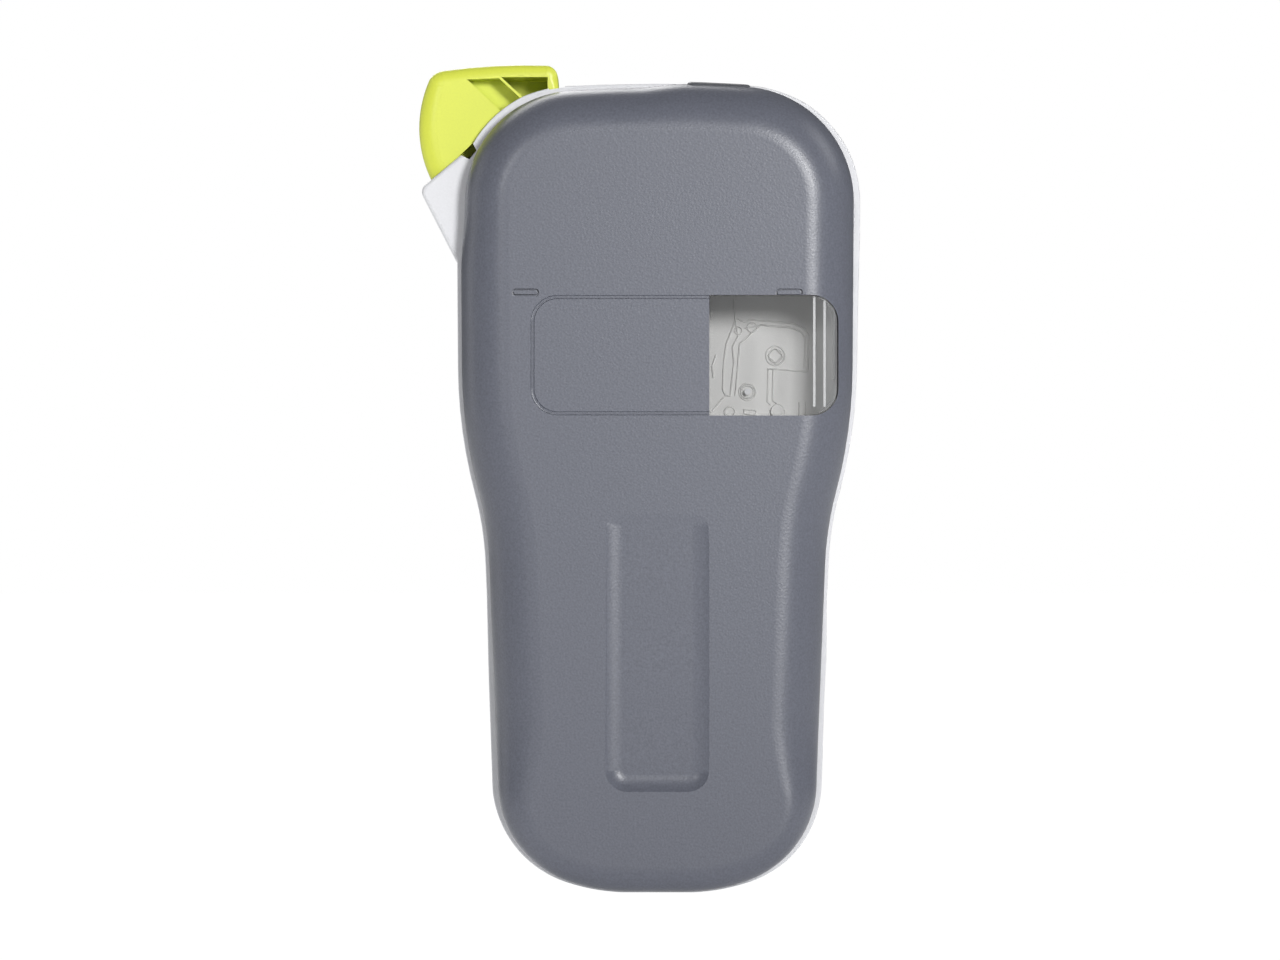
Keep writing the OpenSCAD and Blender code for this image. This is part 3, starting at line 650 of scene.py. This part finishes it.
# depth in metres of the cover's outer face at x, z in mm, on the straight part beside the head
def coverDepth(x, z, thick=0.0):
    near = np.interp(z, outline[: len(outline) // 2, 1], outline[: len(outline) // 2, 0])
    s = near - np.abs(x)
    r = body["edge"]
    u = np.clip(r - s, 0, r - 1e-4)
    return backY - (r - np.sqrt(r * r - u * u)) * mm - thick * mm


def windowPiece(inset=0.32, thick=1.8):
    r = panel["r"] - inset
    right = panel["x"] - panel["w"] / 2 + inset
    high = panel["h"] / 2 - inset
    columns = [(x, high) for x in np.linspace(panel["split"] - inset, right + r, 26)[:-1]]
    for k in range(12):
        a = math.radians(90 * k / 11)
        columns.append((right + r - r * math.sin(a), high - r + r * math.cos(a)))
    across = np.linspace(-1, 1, 25)
    top, low = [], []
    for x, h in columns:
        for b in across:
            z = panel["z"] + b * h
            y = float(coverDepth(x, z))
            slope = (float(coverDepth(x + 0.05, z)) - float(coverDepth(x - 0.05, z))) / (0.1 * mm)
            n = Vector((-slope, 1, 0)).normalized()
            top.append((centreX + x * mm, y, z * mm))
            low.append((centreX + x * mm - n.x * thick * mm, y - n.y * thick * mm, z * mm))
    rows, cols = len(columns), len(across)
    verts = top + low
    base = len(top)
    faces = []
    for i in range(rows - 1):
        for j in range(cols - 1):
            a = i * cols + j
            faces.append((a, a + 1, a + cols + 1, a + cols))
            faces.append((base + a, base + a + cols, base + a + cols + 1, base + a + 1))
    border = [i * cols for i in range(rows)] + [(rows - 1) * cols + j for j in range(1, cols)]
    border += [i * cols + cols - 1 for i in range(rows - 2, -1, -1)] + list(range(cols - 2, 0, -1))
    for i, a in enumerate(border):
        b = border[(i + 1) % len(border)]
        faces.append((a, b, base + b, base + a))
    return link(meshFrom("coverWindow", verts, faces), "coverWindow")


coverWindow = windowPiece()
soften(coverWindow, 0.3, 45, 3)
finishPiece(coverWindow, "back_cover", "clear_window", ["cover_window"])


# two upright ribs inside the window's outer end
web = {"at": (-39.3, -41.9), "low": 122.4, "high": 150.0, "rib": 0.3, "deep": 0.9, "under": 1.7}


def webPiece():
    verts, faces = [], []
    for x in web["at"]:
        section = [(x - web["rib"], -0.15)]
        for k in range(9):
            a = math.pi * k / 8
            section.append((x - web["rib"] * math.cos(a), web["deep"] * math.sin(a)))
        section.append((x + web["rib"], -0.15))
        rings = []
        for z, u in ((web["low"], 0.4), (web["low"] + 0.5, 1), (web["high"] - 0.5, 1), (web["high"], 0.4)):
            rings.append([(centreX + p * mm, float(coverDepth(x, panel["z"])) - (web["under"] + d * u) * mm, z * mm)
                          for p, d in section])
        ribVerts, ribFaces = loft(rings)
        start = len(verts)
        verts += ribVerts
        faces += [tuple(start + i for i in f) for f in ribFaces]
    return link(meshFrom("windowWeb", verts, faces), "windowWeb")


windowWeb = webPiece()
shade(windowWeb, 50)
finishPiece(windowWeb, "back_cover", "clear_window", material="clear_web")
print("window made")


# height of the cover's top surface over the latch, in metres
def crownAt(x, y):
    edge = float(np.interp((x - centreX) / mm, outline[crownHalf, 0], outline[crownHalf, 1]))
    u = min(max(body["edge"] - (backY - y) / mm, 0), body["edge"] - 0.01)
    return (edge - body["edge"] + math.sqrt(body["edge"] ** 2 - u * u)) * mm


def latchPiece():
    backEnd = min(latchHigh.y, backY - latch["fromBack"] * mm)
    cx, cy = (latchHigh.x + latchLow.x) / 2, (backEnd + latchLow.y) / 2
    w, d = (latchHigh.x - latchLow.x) / mm, (backEnd - latchLow.y) / mm
    rings = []
    for inset, drop in ((1.5, 4.6), (1.5, 3.4), (0.0, 3.2), (0, 0.5), (0.15, 0.2), (0.45, 0.05),
                        (0.9, 0), (1.8, 0), (2.6, 0), (3.4, 0)):
        shape = roundRect(w - 2 * inset, d - 2 * inset, max(2 - inset * 0.5, 0.4), 6)
        ring = []
        for p in shape:
            x, y = cx + p[0] * mm, cy + p[1] * mm
            ring.append((x, y, crownAt(x, y) + (latch["proud"] - drop) * mm))
        rings.append(ring)
    verts, faces = loft(rings)
    return link(meshFrom("coverLatch", verts, faces), "coverLatch")


coverLatch = latchPiece()
soften(coverLatch, 0.06, 45)
finishPiece(coverLatch, "cover_latch", "dark_grey_plastic", ["cover_latch"])


lever = {
    "start": (56.2, 178.1, 60), "runs": [(30, 113), (4.5, 172), (150, 182), (3.2, 264)],
    "edges": [4.6, 3.6, 2.9, 2.2],       # round-over beside each run
    "innerRadius": 26.6,
    "pocket": [(48.0, 205.3), (40.0, 205.6), (33.2, 199.2), (37.6, 195.4)], "pocketDeep": 8.0,
    "opening": [(39.4, 205.9), (27.7, 205.9), (27.7, 199.0), (33.0, 199.9)], "openingDeep": 19,
    "notch": [(49.8, 186.2), (46.6, 189.2), (45.6, 187.2), (47.4, 185.0)],
}
leverLow, leverHigh = [Vector(c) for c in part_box("cutter_lever")]
wing = {
    "points": [(43.5, 158.2), (50.2, 158.2), (60.0, 177.4), (49, 186.6), (43.5, 186.6)], "tip": 2.4,
    "pocket": [(42, 161), (49.8, 161), (57.2, 176.9), (62, 182), (60, 200), (42, 200)],
}


# rounds one corner of a flat outline
def fillet(points, index, radius, count=8):
    p = Vector(points[index])
    a, b = (Vector(points[index - 1]) - p).normalized(), (Vector(points[index + 1]) - p).normalized()
    half = a.angle(b) / 2
    centre = p + (a + b).normalized() * radius / math.sin(half)
    start, end = p + a * radius / math.tan(half) - centre, p + b * radius / math.tan(half) - centre
    arc = []
    for k in range(count + 1):
        v = start.lerp(end, k / count).normalized() * radius
        arc.append(tuple(centre + v))
    return points[:index] + arc + points[index + 1:]


keyNodes = [n for n in nodes if n.startswith("key_")]
functionNodes = ["power_key", "print_key", "style_key", "size_key", "clear_key", "enter_key"]


# flat points in mm about a centre, put on the leaning face at a depth in mm below it
def onFace(points, depth, centre):
    turn = Matrix.Rotation(faceLean, 3, "X")
    out = []
    for p in points:
        v = turn @ Vector((p[0] * mm, depth * mm, p[1] * mm))
        out.append(tuple(centre + v))
    return out


# the point of the keyboard face in the middle of a node's box
def faceCentre(node):
    low, high = [Vector(c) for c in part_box(node)]
    middle = (low + high) / 2
    u = Vector((0, -math.sin(faceLean), math.cos(faceLean)))
    origin = Vector((0, frontY(0), 0))
    along = (middle - origin).dot(u)
    return Vector((middle.x, origin.y + along * u.y, origin.z + along * u.z))


keyShapes = {"key": (10, 7.6, 2.4), "function": (12.5, 6.6, 3.2)}
padRadius, okRadius = 12.5, 5.6


def ringPoints(radius, count=48):
    return np.array([(radius * math.cos(2 * math.pi * k / count), radius * math.sin(2 * math.pi * k / count))
                     for k in range(count)])


def housingShell():
    thick, rim = body["wall"], body["rim"]
    edge = 0.3
    rings = [bodyRing(thick - rim, seamY - edge * mm), bodyRing(thick - rim - edge, seamY),
             bodyRing(edge - rim - swell, seamY), bodyRing(edge * 0.3 - rim - swell, seamY - edge * 0.3 * mm),
             bodyRing(-rim - swell, seamY - edge * mm)]
    outer = frontRings(0, np.linspace(0, 90, 11))
    inner = frontRings(thick, np.linspace(90, 0, 6))
    verts, faces = loft(rings + outer, False, True)
    n = len(outline)
    start = len(verts)
    innerVerts, innerFaces = loft(inner, True, False)
    faces += [tuple(start + i for i in f) for f in innerFaces]
    verts += innerVerts
    last = start + (len(inner) - 1) * n
    faces += [(last + i, last + (i + 1) % n, (i + 1) % n, i) for i in range(n)]
    return link(meshFrom("frontHousing", verts, faces), "frontHousing")


def holeTool(shape, node, depth0, depth1):
    centre = faceCentre(node)
    verts, faces = loft([onFace(shape, depth0, centre), onFace(shape, depth1, centre)])
    return link(meshFrom("holeTool", verts, faces), "holeTool")


# opening in the wall of the top corner that the lever swings through
def leverSlot():
    points = []
    for a in np.linspace(14, 85.8, 20):
        points.append((shoulderX + 34 * math.cos(math.radians(a)), shoulderZ + 34 * math.sin(math.radians(a))))
    for a in np.linspace(85.8, 14, 20):
        points.append((shoulderX + 24 * math.cos(math.radians(a)), shoulderZ + 24 * math.sin(math.radians(a))))
    return prism("slotTool", points, leverLow.y - 0.4 * mm, leverHigh.y + 0.4 * mm)


frontHousing = housingShell()
wingBody = prism("wingBody", fillet(wing["points"], 2, wing["tip"]), leverLow.y - 2.4 * mm, seamY)
soften(wingBody, 0.9, 40, 3)
carve(frontHousing, [wingBody], "UNION")
tools = [leverSlot(), prism("pocketTool", wing["pocket"], leverLow.y - 0.5 * mm, leverHigh.y + 0.5 * mm),
         prism("gapTool", lever["notch"], leverHigh.y - 8 * mm, seamY + mm),
         prism("endTool", [(23.2, 203.2), (27.2, 202.6), (27.9, 203.5), (27.7, 204.6), (26.9, 208), (23.2, 208)],
               leverLow.y - 0.5 * mm, seamY + mm)]
for name in keyNodes:
    tools.append(holeTool(roundRect(*keyShapes["key"], 6), name, -2, body["wall"] + 2))
for name in functionNodes:
    tools.append(holeTool(roundRect(*keyShapes["function"], 6), name, -2, body["wall"] + 2))
tools.append(holeTool(ringPoints(padRadius, 64), "direction_pad", -2, body["wall"] + 2))
lensW = (lensHigh.x - lensLow.x) / mm
lensH = (lensHigh.z - lensLow.z) / mm / math.cos(faceLean)
tools.append(holeTool(roundRect(lensW + 0.4, lensH + 0.4, 6, 8), "display_lens", -2, 1.5))
tools.append(holeTool(roundRect(61, 30, 2, 6), "display_lens", -2, body["wall"] + 2))
jackLow, jackHigh = [Vector(c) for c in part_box("dc_jack")]
jackRing = ringPoints(4.1, 40)
jackCentre = (jackLow + jackHigh) / 2
rings = [[(x, jackCentre.y + p[0] * mm, jackCentre.z + p[1] * mm) for p in jackRing]
         for x in (jackLow.x - 12 * mm, jackLow.x + 4 * mm)]
verts, faces = loft(rings)
tools.append(link(meshFrom("jackTool", verts, faces), "jackTool"))
carve(frontHousing, tools)
soften(frontHousing, 0.15, 45)
finishPiece(frontHousing, "housing", "white_plastic", ["front_housing"])
print("front housing made:", len(frontHousing.data.polygons), "faces")


def leverPiece():
    path, edges = [lever["start"]], [lever["edges"][0]]
    for run, edge in zip(lever["runs"], lever["edges"]):
        part = tangentPath(*path[-1], [run], 3)[1:]
        path += part
        edges += [edge] * len(part)
    edges = np.convolve(np.pad(edges, 3, "edge"), np.ones(7) / 7, "valid")
    points = np.array([(x, z) for x, z, h in path])
    normals = np.array([(-math.sin(math.radians(h)), math.cos(math.radians(h))) for x, z, h in path])
    points = np.vstack([points, [(24.4, 197.0), (35.8, 197.0)]])
    normals = np.vstack([normals, [(0, 0), (0, 0)]])
    edges = np.append(edges, [2.2, 4.0])
    rings = []
    for y, sign in ((leverHigh.y, -1), (leverLow.y, 1)):
        for a in np.linspace(90, 0, 10) if sign < 0 else np.linspace(0, 90, 10):
            a = math.radians(a)
            ring = points + normals * np.reshape(edges * (1 - math.cos(a)), (-1, 1))
            rings.append(place(ring, y + sign * edges * 0.62 * (1 - math.sin(a)) * mm))
    verts, faces = loft(rings)
    obj = link(meshFrom("cutterLever", verts, faces), "cutterLever")
    circle = ringPoints(lever["innerRadius"], 96) + (shoulderX, shoulderZ)
    boss = ringPoints(4.1, 40) + (26, 197.5)
    tools = [prism("innerTool", circle, leverLow.y - mm, leverHigh.y + mm),
             prism("pocketTool", lever["pocket"], leverHigh.y - lever["pocketDeep"] * mm, leverHigh.y + mm),
             prism("openingTool", lever["opening"], leverHigh.y - lever["openingDeep"] * mm, leverHigh.y + mm),
             prism("notchTool", lever["notch"], leverHigh.y - 8 * mm, leverHigh.y + mm)]
    carve(obj, tools)
    carve(obj, [prism("bossBody", boss, leverLow.y + 4 * mm, leverHigh.y)], "UNION")
    carve(obj, [prism("boreTool", ringPoints(1.55, 32) + (26, 197.5), leverLow.y - mm, leverHigh.y + mm)])
    return obj


cutterLever = leverPiece()
soften(cutterLever, 0.2, 45, 3)
finishPiece(cutterLever, "cutter_lever", "lime_plastic", ["cutter_lever"])
print("lever made")


def capRings(w, h, r, gap, proud, flange):
    steps = [(-0.5, flange + 0.8), (-0.5, flange), (gap, flange), (gap, -proud + 0.7),
             (gap + 0.12, -proud + 0.32), (gap + 0.38, -proud + 0.1), (gap + 0.8, -proud + 0.02),
             (gap + 1.6, -proud - 0.06), (gap + 2.4, -proud - 0.1)]
    return [(roundRect(w - 2 * d, h - 2 * d, max(r - d, 0.25), 8), y) for d, y in steps]


def keyPiece(node, shape, slotName):
    centre = faceCentre(node)
    rings = [onFace(points, y, centre) for points, y in capRings(*shape, 0.35, 1.3, 2.6)]
    verts, faces = loft(rings)
    name = "".join(w.capitalize() if i else w for i, w in enumerate(node.split("_")))
    obj = link(meshFrom(name, verts, faces), name)
    shade(obj, 50)
    return finishPiece(obj, node, slotName, [node])


for name in keyNodes:
    keyPiece(name, keyShapes["key"], "grey_key")
for name in functionNodes:
    keyPiece(name, keyShapes["function"], "dark_grey_plastic")


def padPiece():
    centre = faceCentre("direction_pad")
    gap, inner = 0.35, okRadius + 0.35
    outerR = padRadius - gap
    section = [(inner, 3.4), (padRadius + 0.5, 3.4), (padRadius + 0.5, 2.6), (outerR, 2.6), (outerR, -0.6),
               (outerR - 0.15, -1.0), (outerR - 0.5, -1.25), (outerR - 1.2, -1.3), (outerR - 3.4, -1.05),
               (inner + 1.0, -0.85), (inner + 0.35, -0.8), (inner + 0.1, -0.65), (inner, -0.35)]
    rings = [onFace(ringPoints(r, 72), y, centre) for r, y in section]
    n = 72
    verts, faces = loft(rings, False, False)
    last = (len(rings) - 1) * n
    faces += [(last + i, last + (i + 1) % n, (i + 1) % n, i) for i in range(n)]
    obj = link(meshFrom("directionPad", verts, faces), "directionPad")
    shade(obj, 45)
    finishPiece(obj, "direction_pad", "dark_grey_plastic", ["direction_pad"])
    for k in range(4):
        a = math.pi / 2 * k
        mark = np.array([(0, 1.0), (-1.0, -0.6), (1.0, -0.6)])
        turned = [(p[0] * math.cos(a) - (p[1] + 8.9) * math.sin(a), p[0] * math.sin(a) + (p[1] + 8.9) * math.cos(a))
                  for p in mark]
        verts, faces = loft([onFace(turned, -0.9, centre), onFace(turned, -1.26, centre)])
        arrow = link(meshFrom("padArrow%d" % (k + 1), verts, faces), "padArrow%d" % (k + 1))
        finishPiece(arrow, "direction_pad", "dark_grey_plastic", material="arrow_print")


def okPiece():
    centre = faceCentre("ok_key")
    steps = [(okRadius, 3.4), (okRadius, -0.75), (okRadius - 0.12, -1.15), (okRadius - 0.45, -1.38),
             (okRadius - 1.1, -1.48), (okRadius - 2.4, -1.4), (okRadius - 4.2, -1.28), (0.4, -1.25)]
    verts, faces = loft([onFace(ringPoints(r, 48), y, centre) for r, y in steps])
    obj = link(meshFrom("okKey", verts, faces), "okKey")
    shade(obj, 45)
    finishPiece(obj, "ok_key", "lime_plastic", ["ok_key"])


padPiece()
okPiece()
print("keys made")


def displayPieces():
    centre = faceCentre("display_lens")
    steps = [(0, 1.15), (0, 0.35), (0.1, 0.14), (0.3, 0.05), (1.2, 0.05)]
    rings = [onFace(roundRect(lensW - 2 * d, lensH - 2 * d, 5.8 - d * 0.8, 8), y, centre) for d, y in steps]
    verts, faces = loft(rings)
    lens = link(meshFrom("displayLens", verts, faces), "displayLens")
    shade(lens, 45)
    finishPiece(lens, "housing", "display_lens", ["display_lens"])
    outer = roundRect(lensW - 0.6, lensH - 0.6, 5.5, 8)
    inner = roundRect(59, 28, 1.5, 8)
    rings = [onFace(shape, y, centre) for shape, y in ((outer, 1.2), (inner, 1.2), (inner, 1.4), (outer, 1.4))]
    n = len(outer)
    verts, faces = loft(rings, False, False)
    faces += [(3 * n + i, 3 * n + (i + 1) % n, (i + 1) % n, i) for i in range(n)]
    mask = link(meshFrom("lensMask", verts, faces), "lensMask")
    shade(mask, 45)
    finishPiece(mask, "housing", "display_lens", material="black_plastic")


displayPieces()
print("display made")

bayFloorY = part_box("inner_chassis")[0][1] + 6.4 * mm


# verts and faces of one low round ridge along flat points in mm
def ridge(points, closed, wide=0.42, high=0.5):
    pts = np.array(points, float)
    n = len(pts)
    rings = []
    for i in range(n):
        a = pts[(i - 1) % n] if closed or i > 0 else pts[i]
        b = pts[(i + 1) % n] if closed or i < n - 1 else pts[i]
        before, after = pts[i] - a, b - pts[i]
        t = before / max(np.linalg.norm(before), 1e-6) + after / max(np.linalg.norm(after), 1e-6)
        t = t / np.linalg.norm(t)
        q = np.array([-t[1], t[0]])
        ring = []
        for s, y in ((-0.5, -0.1), (-0.42, 0.55), (-0.2, 0.95), (0.2, 0.95), (0.42, 0.55), (0.5, -0.1)):
            p = pts[i] + q * s * wide
            ring.append((centreX + p[0] * mm, bayFloorY + y * high * mm, p[1] * mm))
        rings.append(ring)
    if closed:
        rings.append(rings[0])
    return loft(rings, not closed, not closed)


def arcPoints(x, z, r, a0=0, a1=360, count=24):
    angles = np.radians(np.linspace(a0, a1, count, endpoint=abs(a1 - a0) < 360))
    return [(x + r * math.cos(a), z + r * math.sin(a)) for a in angles]


relief = {
    "circles": [(-30.1, 135.7, 2.4), (-30.1, 135.7, 1.7), (-23.0, 126.5, 2.1), (-23.0, 126.5, 1.6),
                (-20.7, 142.1, 0.95), (-24.2, 142.9, 1.2), (-18.5, 121.4, 1.3), (-30.6, 121.6, 1.6)],
    "closed": [
        [(-30.1, 137.6), (-32.0, 135.7), (-30.1, 133.8), (-28.2, 135.7)],
        [(-22.1, 122.0), (-25.2, 121.7), (-25.0, 120.6), (-22.2, 120.9)],
        [(-19.9, 145.0), (-19.4, 143.2), (-17.6, 138.6), (-17.0, 134.0), (-16.7, 127.2), (-17.4, 125.6), (-18.6, 125.4),
         (-19.0, 129.0), (-19.6, 134.0), (-19.2, 138.0), (-20.6, 140.6)],
    ],
    "lines": [
        [(-20.3, 145.2), (-22.2, 144.2), (-23.6, 144.9), (-30.0, 144.3), (-34.5, 144.0), (-37.6, 142.6),
         (-38.6, 140.8), (-38.3, 131.9)],
        [(-22.4, 142.6), (-26.4, 143.6), (-30.5, 143.1), (-34.2, 142.9), (-36.8, 141.7), (-37.7, 139.9), (-37.5, 132.6)],
        [(-26.4, 143.6), (-21.0, 138.7), (-20.4, 131.0), (-19.9, 125.4)],
        [(-28.2, 132.4), (-33.0, 132.1), (-38.2, 131.6)],
        [(-28.3, 132.4), (-28.1, 124.0), (-28.9, 123.2)],
        [(-29.6, 132.3), (-29.4, 124.3), (-31.0, 123.2), (-32.4, 121.6)],
        [(-36.2, 123.9), (-36.1, 119.6)], [(-37.7, 123.9), (-37.6, 119.6)],
        [(-13.7, 121.4), (-17.0, 125.1)], [(-19.6, 150.0), (-19.9, 145.0)], [(-14.4, 130.0), (-14.0, 133.0), (-15.0, 136.0)],
    ],
}


def reliefPiece():
    verts, faces = [], []

    def add(part):
        start = len(verts)
        verts.extend(part[0])
        faces.extend(tuple(start + i for i in f) for f in part[1])
    for x, z, r in relief["circles"]:
        add(ridge(arcPoints(x, z, r), True))
    for points in relief["closed"]:
        add(ridge(points, True))
    for points in relief["lines"]:
        add(ridge(points, False))
    mesh = bpy.data.meshes.new("bayRelief")
    mesh.from_pydata(verts, [], faces)
    mesh.validate()
    obj = link(mesh, "bayRelief")
    shade(obj, 60)
    finishPiece(obj, "housing", "pale_plastic")


reliefPiece()
print("bay relief made")

studio = {
    "distance": 1.9, "frameHeight": 0.2402, "key": 75, "left": 8, "right": 2.5, "side": 1.5, "keyboard": 9,
    "world": 0.13,
}


def stageFloor():
    reach = 5.0
    verts = [(-reach, -reach, 0), (reach, -reach, 0), (reach, reach, 0), (-reach, reach, 0)]
    obj = link(meshFrom("studioFloor", verts, [(0, 1, 2, 3)]), "studioFloor")
    mat, tree, shader = principled("studioFloor")
    shader.inputs["Base Color"].default_value = (0.9, 0.9, 0.9, 1)
    shader.inputs["Roughness"].default_value = 0.8
    shader.inputs["Emission Color"].default_value = (1, 1, 1, 1)
    shader.inputs["Emission Strength"].default_value = 0.32
    glow = tree.nodes.new("ShaderNodeEmission")
    mix = tree.nodes.new("ShaderNodeMixShader")
    seen = tree.nodes.new("ShaderNodeLightPath").outputs["Is Camera Ray"]
    glow.inputs["Strength"].default_value = 1.06
    tree.links.new(mathNode(tree, "MULTIPLY", seen, 0.92), mix.inputs[0])
    tree.links.new(shader.outputs[0], mix.inputs[1])
    tree.links.new(glow.outputs[0], mix.inputs[2])
    tree.links.new(mix.outputs[0], tree.nodes["Material Output"].inputs["Surface"])
    obj.data.materials.append(mat)


def areaLight(name, place, target, width, height, power, color=(1, 1, 1)):
    data = bpy.data.lights.new(name, "AREA")
    data.shape = "RECTANGLE"
    data.size, data.size_y = width, height
    data.energy = power
    data.color = color
    obj = bpy.data.objects.new(name, data)
    obj.location = place
    obj.rotation_euler = (Vector(target) - Vector(place)).to_track_quat("-Z", "Y").to_euler()
    bpy.context.scene.collection.objects.link(obj)


def spotLight(name, place, target, radius, cone, power):
    data = bpy.data.lights.new(name, "SPOT")
    data.shadow_soft_size = radius
    data.spot_size = math.radians(cone)
    data.spot_blend = 1.0
    data.energy = power
    obj = bpy.data.objects.new(name, data)
    obj.location = place
    obj.rotation_euler = (Vector(target) - Vector(place)).to_track_quat("-Z", "Y").to_euler()
    bpy.context.scene.collection.objects.link(obj)


def studioWorld():
    world = bpy.data.worlds.new("studio")
    bpy.context.scene.world = world
    world.use_nodes = True
    tree = world.node_tree
    back = tree.nodes["Background"]
    back.inputs["Color"].default_value = (1, 1, 1, 1)
    seen = tree.nodes.new("ShaderNodeLightPath").outputs["Is Camera Ray"]
    strength = mathNode(tree, "MULTIPLY_ADD", seen, 1.0 - studio["world"])
    strength.node.inputs[2].default_value = studio["world"]
    tree.links.new(strength, back.inputs["Strength"])


stageFloor()
studioWorld()
middle = Vector((0, 0, objectHeight / 2))
spotLight("keySpot", (-0.50, 1.60, 0.42), (-0.02, 0, 0.165), 0.16, 24, studio["key"])
spotLight("leftSpot", (0.42, 1.2, 0.4), (0.02, 0, 0.15), 0.08, 26, studio["left"])
areaLight("rightSide", (-1.1, 0.05, 0.85), middle, 0.6, 0.6, studio["right"])
areaLight("leftSide", (1.3, -0.35, 0.35), middle, 0.6, 1.0, studio["side"])
areaLight("keyboardSoftbox", (0.4, -1.0, 0.95), middle, 0.9, 0.7, studio["keyboard"])

cameraData = bpy.data.cameras.new("camera")
camera = bpy.data.objects.new("camera", cameraData)
cameraData.sensor_width = 36
frameWidth = studio["frameHeight"] * 4 / 3
cameraData.lens = 36 * studio["distance"] / frameWidth
camera.location = (-0.3 * mm, backY + studio["distance"], objectHeight / 2 + 0.5 * mm)
camera.rotation_euler = (math.radians(90), 0, math.radians(180))
cameraData.clip_end = 50
bpy.context.scene.collection.objects.link(camera)
bpy.context.scene.camera = camera
bpy.context.scene.view_settings.view_transform = "Standard"
